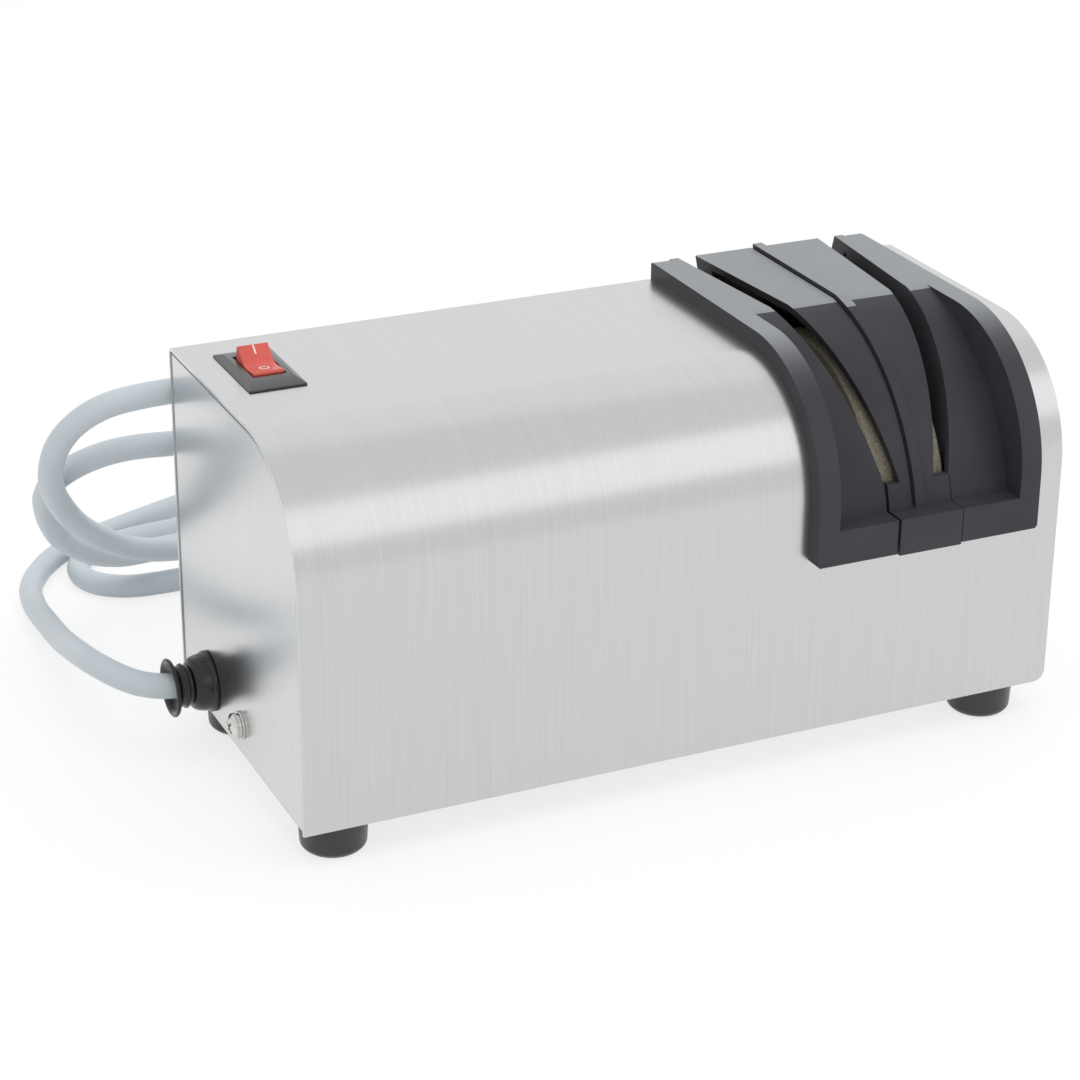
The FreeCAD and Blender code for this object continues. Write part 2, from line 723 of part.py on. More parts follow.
def end_bell(closed_x, towards):
    """A square cast cup; closed_x is its closed outer face and towards points to the stack."""
    x0, x1 = sorted((closed_x, closed_x + towards * bell_depth))
    block = rounded_square_x(stator_side, stator_corner, x0, x1)
    c0, c1 = sorted((closed_x + towards * bell_end, closed_x + towards * (bell_depth + 1.0)))
    cavity = cylinder_x(bell_cavity, c0, c1, shaft_y, shaft_z)
    seat = cylinder_x(bearing_outer + running_fit, x0 - 1.0, x1 + 1.0, shaft_y, shaft_z)
    return block.cut([cavity, seat] + bolt_holes(x0 - 1.0, x1 + 1.0))


def bearing(x0):
    ring = cylinder_x(bearing_outer, x0, x0 + bell_end, shaft_y, shaft_z)
    return ring.cut(cylinder_x(shaft_radius + running_fit, x0 - 1.0, x0 + bell_end + 1.0, shaft_y, shaft_z))


def motor_bolts():
    x0 = stator_left - bell_depth
    x1 = stator_left + stator_length + bell_depth
    bolts = []
    for y, z in motor_bolt_places():
        rod = cylinder_x(motor_bolt_radius, x0 - 1.0, x1 + nut_height + 1.0, y, z)
        head = hexagon_x(nut_flat, x0 - nut_height, x0, y, z)
        nut = hexagon_x(nut_flat, x1, x1 + nut_height, y, z)
        bolts.append(fuse(rod, head, nut))
    return Part.makeCompound(bolts)


def rotor_core():
    core = cylinder_x(stator_bore - air_gap, stator_left, stator_left + stator_length, shaft_y, shaft_z)
    return core.cut(cylinder_x(shaft_radius + running_fit, 0.0, BIG, shaft_y, shaft_z))


def cooling_fan():
    hub = cylinder_x(fan_hub, fan_left, fan_left + fan_width, shaft_y, shaft_z)
    disc = cylinder_x(fan_radius, fan_left + fan_width - 2.0, fan_left + fan_width, shaft_y, shaft_z)
    blade = box(fan_left, fan_left + fan_width - 1.0, shaft_y - fan_blade / 2, shaft_y + fan_blade / 2,
                shaft_z + fan_hub - 1.0, shaft_z + fan_radius)
    body = fuse(hub, disc, *around_shaft(blade, fan_blades))
    return body.cut(cylinder_x(shaft_radius + running_fit, 0.0, BIG, shaft_y, shaft_z))


def cradle_screw_places():
    half = stator_side / 2 + cradle_sheet
    x1 = stator_left + stator_length + cradle_margin
    return [(x, y) for x in (stator_left - cradle_margin / 2 - 0.5, x1 - cradle_margin / 2 + 0.5)
            for y in (shaft_y - half * 0.6, shaft_y + half * 0.6)]


def motor_cradle():
    """A folded plate with two ribs under the stator and a cheek on each side of it."""
    x0 = stator_left - cradle_margin
    x1 = stator_left + stator_length + cradle_margin
    half = stator_side / 2 + rest_gap
    under = shaft_z - stator_side / 2 - rest_gap
    floor = box(x0, x1, shaft_y - half - cradle_sheet, shaft_y + half + cradle_sheet,
                base_sheet, base_sheet + cradle_sheet)
    cheeks = [box(stator_left + 2.0, stator_left + stator_length - 2.0, y, y + cradle_sheet,
                  base_sheet, shaft_z * 0.8)
              for y in (shaft_y - half - cradle_sheet, shaft_y + half)]
    ribs = [box(x, x + cradle_rib, shaft_y - half * 0.8, shaft_y + half * 0.8, base_sheet, under)
            for x in (stator_left + 4.0, stator_left + stator_length - 4.0 - cradle_rib)]
    body = fuse(floor, *cheeks, *ribs)
    return body.cut([cylinder_z(cradle_screw[0] + screw_fit, x, y, 0.0, 10.0) for x, y in cradle_screw_places()])


def cradle_screws():
    shank, head, tall = cradle_screw
    screws = []
    for x, y in cradle_screw_places():
        pin = cylinder_z(shank, x, y, -1.5, base_sheet + cradle_sheet)
        cap = cylinder_z(head, x, y, base_sheet + cradle_sheet, base_sheet + cradle_sheet + tall)
        screws.append(pin.fuse(cap))
    return Part.makeCompound(screws)


def capacitor_centre_z():
    return base_sheet + clip_wall + capacitor_radius + rest_gap


def run_capacitor():
    can = cylinder_x(capacitor_radius, capacitor_x, capacitor_x + capacitor_length, capacitor_y,
                     capacitor_centre_z())
    rims = [edge for edge in can.Edges if edge.Curve.TypeId == "Part::GeomCircle"]
    can = can.makeFillet(1.2, rims)
    tabs = [box(capacitor_x - 6.0, capacitor_x + 1.0, capacitor_y + a - 3.0, capacitor_y + a + 3.0,
                capacitor_centre_z() - 0.4, capacitor_centre_z() + 0.4) for a in (-6.0, 6.0)]
    return can.fuse(tabs)


def clip_screw_place():
    x = capacitor_x + capacitor_length / 2
    return x, capacitor_y - capacitor_radius - clip_wall - 7.0


def capacitor_clip():
    """A P-shaped strap round the capacitor with one foot on the base plate."""
    x0 = capacitor_x + (capacitor_length - clip_width) / 2
    z = capacitor_centre_z()
    inner = capacitor_radius + rest_gap
    ring = cylinder_x(inner + clip_wall, x0, x0 + clip_width, capacitor_y, z)
    tab_y = capacitor_y - inner - clip_wall - 13.0
    tab = box(x0, x0 + clip_width, tab_y, capacitor_y, base_sheet, base_sheet + clip_wall)
    body = ring.fuse(tab).cut(cylinder_x(inner, x0 - 1.0, x0 + clip_width + 1.0, capacitor_y, z))
    x, y = clip_screw_place()
    return body.cut(cylinder_z(guide_screw[0] + screw_fit, x, y, 0.0, 10.0)).removeSplitter()


def clip_fixing_screw():
    shank, head, tall = guide_screw
    x, y = clip_screw_place()
    top = base_sheet + clip_wall
    return cylinder_z(shank, x, y, -1.5, top).fuse(cylinder_z(head, x, y, top, top + tall))


def pole_places():
    pitch = block_size[1] / block_poles
    return [block_y + pitch * (k + 0.5) for k in range(block_poles)]


def terminal_block():
    sx, sy, sz = block_size
    body = box(block_x, block_x + sx, block_y, block_y + sy, base_sheet, base_sheet + sz)
    cuts = [cylinder_x(core_radius + 0.1, block_x - 1.0, block_x + sx + 1.0, y, base_sheet + sz * 0.45)
            for y in pole_places()]
    cuts += [cylinder_z(2.2, block_x + sx / 2, y, base_sheet + sz * 0.45, base_sheet + sz + 1.0)
             for y in pole_places()]
    barriers = [box(block_x + 1.0, block_x + sx - 1.0, y - 0.7, y + 0.7, base_sheet + sz - 0.5, base_sheet + sz + 2.0)
                for y in (block_y + block_size[1] / block_poles, block_y + 2 * block_size[1] / block_poles)]
    return body.cut(cuts).fuse(barriers)


def terminal_screws():
    sx, sy, sz = block_size
    screws = []
    for y in pole_places():
        pin = cylinder_z(2.1, block_x + sx / 2, y, base_sheet + sz * 0.45 + core_radius + 0.2, base_sheet + sz - 1.0)
        notch = box(block_x, block_x + sx, y - 0.4, y + 0.4, base_sheet + sz - 2.2, base_sheet + sz)
        screws.append(pin.cut(notch))
    return Part.makeCompound(screws)


def supply_cores():
    """Three insulated cores from the gland to the terminal block."""
    sz = block_size[2]
    cores = []
    start_y = (-3.2, 0.0, 3.2)
    for k, y in enumerate(pole_places()):
        start = (plate_inset + sheet + gland_inside, gland_y + start_y[k], gland_z - 3.0)
        end = (block_x + 5.0, y, base_sheet + sz * 0.45)
        path = [start, (start[0] + 4.0, start[1], start[2]), (end[0] - 8.0, end[1], end[2]), end]
        cores.append(tube(path, core_radius, 0.45))
    return Part.makeCompound(cores)


def switch_leads():
    """Two leads from the terminal block, back over it and up past the fan to the switch's blades."""
    leads = []
    sx, sy, sz = block_size
    z0 = base_sheet + sz * 0.45
    right = block_x + sx
    over = base_sheet + sz + 5.0
    blade_low = height - switch_depth - blade_size[2]
    for y, blade_y in ((pole_places()[0], switch_y - blade_apart / 2), (pole_places()[2], switch_y + blade_apart / 2)):
        path = [(right - 5.0, y, z0), (right + 5.0, y, z0), (right + 9.0, y, z0 + 6.0), (right + 3.0, y, over),
                (block_x + 1.0, y, over + 1.0), (block_x - 8.0, y, over + 9.0),
                (block_x - 9.5, (y + blade_y) / 2, shaft_z - 10.0), (block_x - 8.0, blade_y, blade_low - 18.0),
                (switch_x, blade_y, blade_low - 7.0), (switch_x, blade_y, blade_low)]
        leads.append(tube(path, core_radius, 0.45))
    return Part.makeCompound(leads)


def switch_housing():
    """The black bezel and the body under it, moulded in one, with a cavity for the rocker."""
    def outline(size, z):
        return [at(switch_x + a * size[0] / 2, switch_y + b * size[1] / 2, z)
                for a, b in ((-1, -1), (1, -1), (1, 1), (-1, 1))]
    collar = hexahedron(outline(bezel_base, height + bezel_edge), outline(bezel_rim, height + bezel_height))
    lip = box(switch_x - bezel_base[0] / 2, switch_x + bezel_base[0] / 2,
              switch_y - bezel_base[1] / 2, switch_y + bezel_base[1] / 2, height, height + bezel_edge)
    body = box(switch_x - switch_body[0] / 2, switch_x + switch_body[0] / 2, switch_y - switch_body[1] / 2,
               switch_y + switch_body[1] / 2, height - switch_depth, height)
    cavity = box(switch_x - switch_cavity[0] / 2, switch_x + switch_cavity[0] / 2,
                 switch_y - switch_cavity[1] / 2, switch_y + switch_cavity[1] / 2,
                 height - cavity_depth, height + 10.0)
    pivots = cylinder_x(trunnion_radius + running_fit, switch_x - rocker_width / 2 - trunnion_reach - 0.2,
                        switch_x + rocker_width / 2 + trunnion_reach + 0.2, switch_y, height)
    return fuse(collar, lip, body).cut([cavity, pivots])


def switch_rocker():
    """The red rocker with its raised ends, stored with the front end pressed: switched off."""
    x0 = switch_x - rocker_width / 2
    y0, z0 = switch_y, height

    def place(y, z):
        return at(x0, y0 + y, z0 + z)

    def corner(side):
        flank = rocker_half - rocker_corner
        turn = rocker_corner * math.sqrt(0.5)
        return [place(side * flank, rocker_end),
                place(side * (flank + turn), rocker_end - rocker_corner + turn),
                place(side * rocker_half, rocker_end - rocker_corner)]
    dip_y, dip_rise = rocker_dip
    dip = [place(-dip_y, rocker_valley + dip_rise), place(0, rocker_valley), place(dip_y, rocker_valley + dip_rise)]
    back, low_front = corner(1), corner(-1)[::-1]
    belly = [place(rocker_half, -1.0), place(0, -rocker_belly), place(-rocker_half, -1.0)]
    edges = [Part.Arc(*low_front).toShape(), Part.makeLine(low_front[2], dip[0]), Part.Arc(*dip).toShape(),
             Part.makeLine(dip[2], back[0]), Part.Arc(*back).toShape(), Part.makeLine(back[2], belly[0]),
             Part.Arc(*belly).toShape(), Part.makeLine(belly[2], low_front[0])]
    body = along_x(Part.Face(Part.Wire(edges)), rocker_width)
    pivots = cylinder_x(trunnion_radius, x0 - trunnion_reach, x0 + rocker_width + trunnion_reach, y0, z0)
    body = body.fuse(pivots)
    body.rotate(at(x0, y0, z0), X_AXIS, rocker_tilt)
    return body


def switch_blades():
    """Two flat terminals under the switch."""
    wide, thick, long = blade_size
    low = height - switch_depth
    return Part.makeCompound([
        box(switch_x - wide / 2, switch_x + wide / 2, switch_y + y - thick / 2, switch_y + y + thick / 2,
            low - long, low) for y in (-blade_apart / 2, blade_apart / 2)])


def cord_gland():
    """A black rubber gland: a stepped cone on the plate, a neck and a flared mouth."""
    outside = plate_inset
    profile = [(0.0, gland_base), (-2.2, gland_base), (-5.0, gland_base - 0.6), (-8.4, gland_neck + 0.8),
               (-10.2, gland_neck), (-12.2, gland_neck), (-13.6, gland_neck + 1.0),
               (-gland_length + 0.9, gland_mouth), (-gland_length, gland_mouth - 0.5),
               (-gland_length + 0.6, gland_mouth - 1.6), (-12.6, cord_radius + 1.2), (-10.2, cord_radius + 0.15),
               (-10.2, 0.0), (0.0, 0.0)]
    body = turned(profile, at(outside, gland_y, gland_z), X_AXIS)
    stem = cylinder_x(gland_hole, outside, outside + sheet + gland_inside, gland_y, gland_z)
    return body.fuse(stem).removeSplitter()


def gland_nut():
    x0 = plate_inset + sheet
    nut = cylinder_x(gland_hole + 3.0, x0, x0 + 4.0, gland_y, gland_z)
    return nut.cut(cylinder_x(gland_hole + running_fit, x0 - 1.0, x0 + 5.0, gland_y, gland_z))


def ground_screw():
    """A domed cross-recessed screw whose head stands on two washers outside the plate."""
    head_base = plate_inset - ground_washer[1] - ground_lock[1]
    radius, tall = ground_head
    profile = [(0.0, 0.0), (0.0, radius), (-tall * 0.45, radius), (-tall * 0.85, radius * 0.72),
               (-tall, radius * 0.3), (-tall, 0.0)]
    head = turned(profile, at(head_base, ground_y, ground_z), X_AXIS)
    shank = cylinder_x(ground_shank, head_base, plate_inset + sheet + 8.0, ground_y, ground_z)
    slot = box(head_base - tall - 1.0, head_base - tall + 1.3, ground_y - 0.5, ground_y + 0.5,
               ground_z - 2.6, ground_z + 2.6)
    cross = slot.copy()
    cross.rotate(at(0, ground_y, ground_z), X_AXIS, 90)
    recess = [slot, cross]
    for piece in recess:
        piece.rotate(at(0, ground_y, ground_z), X_AXIS, 35)
    return head.fuse(shank).cut(recess)


def ground_washer_ring():
    radius, thick = ground_washer
    ring = cylinder_x(radius, plate_inset - thick, plate_inset, ground_y, ground_z)
    return ring.cut(cylinder_x(ground_shank + screw_fit, -5.0, 5.0, ground_y, ground_z))


def ground_lock_ring():
    radius, thick = ground_lock
    x1 = plate_inset - ground_washer[1]
    ring = cylinder_x(radius, x1 - thick, x1, ground_y, ground_z)
    split = box(x1 - thick - 1.0, x1 + 1.0, ground_y - 0.4, ground_y + 0.4, ground_z, ground_z + 10.0)
    return ring.cut([cylinder_x(ground_shank + screw_fit, -5.0, 5.0, ground_y, ground_z), split])


def ground_nut():
    x0 = plate_inset + sheet
    nut = hexagon_x(8.0, x0, x0 + 4.0, ground_y, ground_z)
    return nut.cut(cylinder_x(ground_shank + screw_fit, x0 - 1.0, x0 + 5.0, ground_y, ground_z))


def tube(points, radius, share):
    """A round tube on straight runs joined by tangent arcs, each arc as large as its runs allow."""
    places = [at(*point) for point in points]
    edges = []
    start = places[0]
    radii = []
    for before, corner, after in zip(places, places[1:], places[2:]):
        arrive = (corner - before).normalize()
        leave = (after - corner).normalize()
        turn = arrive.getAngle(leave)
        reach = share * min((corner - before).Length, (after - corner).Length)
        radii.append(reach / math.tan(turn / 2))
        begin = corner - arrive * reach
        finish = corner + leave * reach
        middle = (begin + finish) * 0.5
        inward = (middle - corner).normalize()
        depth_in = reach / math.tan(turn / 2) * (1 / math.cos(turn / 2) - 1)
        edges.append(Part.makeLine(start, begin))
        edges.append(Part.Arc(begin, corner + inward * depth_in, finish).toShape())
        start = finish
    edges.append(Part.makeLine(start, places[-1]))
    path = Part.Wire(edges)
    direction = (places[1] - places[0]).normalize()
    section = Part.Wire([Part.makeCircle(radius, places[0], direction)])
    solid = path.makePipeShell([section], True, False)
    ideal = math.pi * radius ** 2 * path.Length
    print("tube length", round(path.Length, 1), "volume share", round(solid.Volume / ideal, 4),
          "smallest radius", round(min(radii), 1), "in diameters", round(min(radii) / (2 * radius), 1))
    return solid


def plug_origin():
    return cord_tail_points[-1]


def plug_body():
    """A moulded plug lying flat: a tapered grip with a flat face for the pins."""
    x, y, z = plug_origin()
    low = -foot_height
    sections = [(0.0, 6.5, 6.5), (8.0, 7.5, 7.0), (18.0, plug_width / 2 - 2.0, plug_thick / 2),
                (plug_length, plug_width / 2, plug_thick / 2)]
    outlines = []
    for along, half_y, half_z in sections:
        z_mid = low + max(half_z, cord_radius)
        outlines.append([at(x + along, y - half_y, z_mid - half_z), at(x + along, y + half_y, z_mid - half_z),
                         at(x + along, y + half_y, z_mid + half_z), at(x + along, y - half_y, z_mid + half_z)])
    wires = [Part.makePolygon(outline + [outline[0]]) for outline in outlines]
    return Part.makeLoft(wires, True, True)


def plug_pins():
    """Two flat blades and a round earth pin."""
    x, y, z = plug_origin()
    long, wide, thick = plug_pin
    x0 = x + plug_length
    mid = -foot_height + plug_thick / 2
    blades = [box(x0, x0 + long, y + a * plug_pin_apart / 2 - thick / 2, y + a * plug_pin_apart / 2 + thick / 2,
                  mid - wide / 2, mid + wide / 2) for a in (-1, 1)]
    return Part.makeCompound(blades)


def earth_pin():
    x, y, z = plug_origin()
    mid = -foot_height + plug_thick / 2 + 3.5
    return cylinder_x(2.3, x + plug_length, x + plug_length + plug_pin[0] + 2.0, y, mid)


def main():
    os.makedirs("parts", exist_ok=True)
    save("housing_wrapper", wrapper())
    save("left_end_plate", left_end_plate())
    save("right_end_plate", right_end_plate())
    save("base_plate", base_plate())
    save("base_screws", base_screws())
    for name, (x, y) in foot_places().items():
        save(name, foot(x, y))
    save("foot_screws", foot_screws())
    save("foot_nuts", foot_nuts())
    save("left_guide", side_guide(-1, tongue_left + seam_left))
    save("right_guide", side_guide(1, tongue_right + seam_right))
    save("centre_guide", centre_guide())
    save("guide_screws", guide_screws())
    save("motor_shaft", shaft())
    save("drive_key", drive_key())
    save("left_wheel_hub", wheel_hub(-1))
    save("right_wheel_hub", wheel_hub(1))
    save("left_wheel", wheel(-1))
    save("right_wheel", wheel(1))
    save("wheel_spring", wheel_spring())
    save("stop_collar", stop_collar())
    save("shaft_washer", shaft_washer())
    save("shaft_nut", shaft_nut())
    save("stator_stack", stator_stack())
    save("stator_winding", stator_winding())
    bell_left_x = stator_left - bell_depth
    bell_right_x = stator_left + stator_length + bell_depth
    save("left_end_bell", end_bell(bell_left_x, 1))
    save("right_end_bell", end_bell(bell_right_x, -1))
    save("left_bearing", bearing(bell_left_x))
    save("right_bearing", bearing(bell_right_x - bell_end))
    save("motor_bolts", motor_bolts())
    save("rotor_core", rotor_core())
    save("cooling_fan", cooling_fan())
    save("motor_cradle", motor_cradle())
    save("cradle_screws", cradle_screws())
    save("run_capacitor", run_capacitor())
    save("capacitor_clip", capacitor_clip())
    save("clip_screw", clip_fixing_screw())
    save("terminal_block", terminal_block())
    save("terminal_screws", terminal_screws())
    save("supply_cores", supply_cores())
    save("switch_leads", switch_leads())
    save("switch_housing", switch_housing())
    save("switch_rocker", switch_rocker())
    save("switch_blades", switch_blades())
    save("cord_gland", cord_gland())
    save("gland_nut", gland_nut())
    save("ground_screw", ground_screw())
    save("ground_washer", ground_washer_ring())
    save("ground_lock_washer", ground_lock_ring())
    save("ground_nut", ground_nut())
    save("cord_lead", tube(cord_lead_points, cord_radius, 0.45))
    save("cord_loops", tube(cord_loop_points, cord_radius, 0.45))
    save("cord_tail", tube(cord_tail_points, cord_radius, 0.45))
    save("plug_body", plug_body())
    save("plug_blades", plug_pins())
    save("plug_earth_pin", earth_pin())


main()
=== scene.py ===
"""Electric knife sharpener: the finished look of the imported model.

Metres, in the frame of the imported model. Every operator makes one piece or one group of like
pieces, and the panel in the sidebar lists them in the order in which they are made.
"""
import math

import bmesh
import bpy
from mathutils import Matrix, Vector


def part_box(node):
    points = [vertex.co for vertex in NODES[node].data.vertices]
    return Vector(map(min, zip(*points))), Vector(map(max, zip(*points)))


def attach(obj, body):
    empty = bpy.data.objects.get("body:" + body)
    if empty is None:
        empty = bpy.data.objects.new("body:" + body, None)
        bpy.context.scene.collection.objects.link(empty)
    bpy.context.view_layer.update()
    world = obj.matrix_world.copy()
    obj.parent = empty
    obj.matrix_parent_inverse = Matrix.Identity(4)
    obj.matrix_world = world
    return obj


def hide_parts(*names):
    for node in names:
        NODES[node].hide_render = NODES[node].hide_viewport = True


bl_info = {
    "name": "Knife Sharpener Finish",
    "version": (1, 0, 0),
    "blender": (4, 5, 0),
    "location": "View3D > Sidebar > Sharpener",
    "description": "Gives the knife sharpener its finishes, cord, marks, stage and lights",
    "category": "Object",
}

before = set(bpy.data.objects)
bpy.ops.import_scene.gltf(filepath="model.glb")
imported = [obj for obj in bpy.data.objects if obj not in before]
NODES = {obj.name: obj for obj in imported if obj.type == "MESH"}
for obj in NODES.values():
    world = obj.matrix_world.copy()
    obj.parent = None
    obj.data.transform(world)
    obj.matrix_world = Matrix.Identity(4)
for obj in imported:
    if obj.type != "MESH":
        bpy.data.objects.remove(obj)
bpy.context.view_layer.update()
MM = 0.001
CORNER, FAR_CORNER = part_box("housing_wrapper")
ROCKER_LOW, ROCKER_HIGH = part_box("switch_rocker")
PLUG_LOW, PLUG_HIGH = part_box("plug_body")
SCREW_LOW, SCREW_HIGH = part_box("ground_screw")
LEFT_PLATE_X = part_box("left_end_plate")[0].x
RIGHT_PLATE_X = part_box("right_end_plate")[1].x
FLOOR_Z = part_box("foot_front_left")[0].z
FEET = ("foot_front_left", "foot_front_right", "foot_back_left", "foot_back_right")
GUIDES = ("left_guide", "right_guide", "centre_guide")
CORD_NODES = ("cord_lead", "cord_loops", "cord_tail")

# The curve from the housing's front to its top: its radius and its middle
CURVE_RADIUS = 0.0465
CURVE_Y = CORNER.y + CURVE_RADIUS
CURVE_Z = FAR_CORNER.z - CURVE_RADIUS

# The cord's route from the gland to the plug, from the housing's lower left front corner
CORD_ROUTE = [
    (-0.0098, 0.1000, 0.0140), (-0.0175, 0.1012, 0.0145), (-0.0255, 0.1046, 0.0158),
    (-0.0320, 0.1106, 0.0178), (-0.0366, 0.1195, 0.0189), (-0.0386, 0.1315, 0.0176),
    (-0.0376, 0.1495, 0.0124), (-0.0350, 0.1753, 0.0039),
    (-0.0330, 0.2025, -0.0017), (-0.0315, 0.2305, -0.0060), (-0.0265, 0.2565, -0.00825),
    (-0.0075, 0.2825, -0.00825), (0.0180, 0.2950, -0.00825), (0.0470, 0.3070, -0.00825),
    (0.0800, 0.3200, -0.00825), (0.1140, 0.3290, -0.00825), (0.1500, 0.3320, -0.00825),
    (0.1840, 0.3240, -0.00825), (0.2110, 0.3030, -0.00825), (0.2230, 0.2710, -0.00825),
    (0.2230, 0.2390, -0.0040), (0.2110, 0.2100, 0.0150), (0.1910, 0.1850, 0.0430),
    (0.1640, 0.1650, 0.0720), (0.1310, 0.1510, 0.0940), (0.0950, 0.1430, 0.1080),
    (0.0590, 0.1395, 0.1140), (0.0260, 0.1380, 0.1140), (-0.0040, 0.1370, 0.1155),
    (-0.0255, 0.1425, 0.1110), (-0.0385, 0.1515, 0.0960), (-0.0400, 0.1610, 0.0755),
    (-0.0295, 0.1740, 0.0555), (-0.0160, 0.1940, 0.0380), (0.0060, 0.2080, 0.0205),
    (0.0360, 0.2190, 0.0125), (0.0690, 0.2200, 0.0135), (0.0960, 0.2095, 0.0290),
    (0.1070, 0.1910, 0.0530), (0.0995, 0.1720, 0.0770), (0.0765, 0.1580, 0.0925),
    (0.0460, 0.1540, 0.0950), (0.0160, 0.1535, 0.0865), (-0.0110, 0.1600, 0.0865),
    (-0.0285, 0.1705, 0.0775), (-0.0360, 0.1840, 0.0635), (-0.0325, 0.1965, 0.0475),
    (-0.0235, 0.2110, 0.0290), (-0.0025, 0.2235, 0.0125), (0.0240, 0.2360, 0.0070),
    (0.0540, 0.2440, 0.0050), (0.0840, 0.2420, -0.0035), (0.1160, 0.2330, -0.00825),
    (0.1490, 0.2320, -0.00825), (0.1760, 0.2470, -0.00825), (0.1860, 0.2750, -0.00825),
    (0.1730, 0.3010, -0.00825), (0.1450, 0.3120, -0.00825), (0.1150, 0.3050, -0.00825),
    (0.0880, 0.2940, -0.00825), (0.0640, 0.2865, -0.00825), (0.0420, 0.2860, -0.00825),
    (0.0220, 0.2840, -0.00825), (0.0050, 0.2770, -0.00825), (-0.0045, 0.2640, -0.00825),
    (-0.0040, 0.2485, -0.00825), (0.0080, 0.2375, -0.00825), (0.0255, 0.2355, -0.00825),
    (0.0480, 0.2370, -0.00825), (0.0730, 0.2270, -0.00825), (0.0980, 0.2110, -0.00825),
    (0.1260, 0.1960, -0.00825), (0.1550, 0.1850, -0.00825), (0.1830, 0.1850, -0.00825)]

# The gland's outline in millimetres: distance out from the end plate, radius
GLAND_OUTLINE = (
    (-9.2, 0.0), (-9.2, 7.6), (-8.8, 8.0), (0.0, 8.0), (0.0, 11.1), (0.3, 11.5), (1.3, 11.5),
    (1.8, 11.2), (2.0, 10.8), (4.4, 10.5), (6.4, 9.9), (7.6, 9.1), (8.3, 8.2), (8.5, 7.4),
    (9.1, 7.2), (9.7, 7.4), (9.9, 8.1), (10.3, 8.4), (10.9, 8.3), (11.2, 7.8), (12.0, 7.6),
    (12.9, 7.9), (13.6, 8.8), (14.1, 10.1), (14.4, 10.7), (14.9, 11.0), (15.4, 11.0),
    (15.8, 10.6), (15.9, 10.1), (15.7, 9.5), (14.7, 8.2), (13.4, 6.9), (12.2, 5.8), (11.4, 5.0),
    (10.2, 4.8), (10.2, 0.0))

# The view of the photograph, from the housing's lower left front corner
VIEW_PLACE = Vector((-0.2920, -0.8297, 0.5038))
VIEW_AZIMUTH = math.radians(-24.62)
VIEW_ELEVATION = math.radians(24.07)
VIEW_ROLL = math.radians(0.43)
VIEW_LENS = 97.73
VIEW_SENSOR = 36.0
VIEW_DEPTH = 30.0

# Tests on meshes: how near counts as one place, as in one plane and as at an end of a piece,
# and how flat counts as one face
MERGE_DISTANCE = 0.000005
SAME_PLANE = 0.00002
AT_END = 0.0001
FLAT_ANGLE = math.radians(0.6)

# Holes in the left end plate keep sharp edges within these distances of their middles
GLAND_HOLE_REACH = 0.0100
SCREW_HOLE_REACH = 0.0045

# Rounding of the smaller pieces' edges
BEZEL_EDGE = 0.0005
ROCKER_EDGE = 0.0016
FOOT_EDGE = 0.0012
PLUG_EDGE = 0.0012
SCREW_EDGES = {"ground_screw": 0.0003, "ground_washer": 0.0002, "ground_lock_washer": 0.0002}

# The plug: the grip's share of its length, the grooved share of the grip, and where in its pitch a
# groove starts and ends. Then the steps from the grip to the cord: share of the plug's length, and
# what each step leaves of the width and of the thickness
GRIP_SHARE = 0.45
GROOVED_SHARE = 0.8
GROOVE_SIDES = (0.3, 0.7)
GROOVE_DEPTH = 0.0006
PLUG_STEPS = ((0.14, 0.90, 0.93), (0.18, 0.72, 0.83), (0.13, 0.72, 0.85), (0.10, 0.94, 0.96))

# The marks on the rocker, along the switch from its middle
BAR_WIDTH = 0.00055
BAR_LENGTH = 0.0032
BAR_Y = 0.0056
RING_RADIUS = 0.00185
RING_STRETCH = 1.15
RING_WIDTH = 0.00055
RING_Y = -0.0046
MARK_DROP = 0.004
MARK_CLEARANCE = 0.00003

# The guides' outer faces stand out of the housing by more than this. Their painted sheen is full on
# the flats, fades down the curve until its rise is at the start, and stays at its least below that.
OUTER_FACES_PROUD = 0.0052
SHEEN_START = 0.6
SHEEN_LEAST = 0.03
SHEEN_FADE = 5

# The painted shade in the seam of an end plate, a dark line: its least strength, its growth where it
# faces up, and how many bend radii it reaches in from the rim
LEAST_SEAM_SHADING = 0.3
SEAM_SHADING_GROWTH = 3.0
SEAM_SHADING_REACH = 1.5

# Shades and shader values that aren't on the panel
NOISE_LOW = 0.3
NOISE_HIGH = 0.7
METAL_BUMP = 0.00003
MOULD_BUMP = 0.00005
GRIT_BUMP = 0.0003
GRIT_ROUGHNESS = 0.92
COAT_ROUGHNESS = 0.28
DUST = (0.34, 0.34, 0.36)
DUSTY_ABOVE = 0.56
# Painted shade for the dark line in the end plates' seams
SEAM_PAINTED_SHADE = (0.012, 0.012, 0.012)
# Painted shade on the bezel's front slope
BEZEL_PAINTED_SHADE = (0.006, 0.006, 0.007)

# Soft lights: name, place, target, size, power, and whether the steel mirrors them
SOFT_LIGHTS = (
    ("back box", (0.85, 1.6, 1.4), (0.0, 0.0, 0.13), (4.5, 2.5), 4.7, True),
    ("front box", (0.75, -1.60, 1.35), (0.0, -0.06, 0.11), (4.2, 1.25), 6.5, True),
    ("overhead box", (0.1, -0.2, 1.9), (0.0, 0.0, 0.1), (1.6, 1.6), 10.0, False))

# The floor, with a share of plain white in its own shade, and the strengths of the white world
FLOOR_SIZE = 12.0
FLOOR_SHADE = (0.93, 0.93, 0.93, 1.0)
FLOOR_ROUGHNESS = 0.9
FLOOR_SPECULAR = 0.1
FLOOR_WHITE = 1.07
FLOOR_WHITE_SHARE = 0.7
WORLD_SEEN = 1.0
WORLD_MIRRORED = 0.90
WORLD_AS_LAMP = 0.68


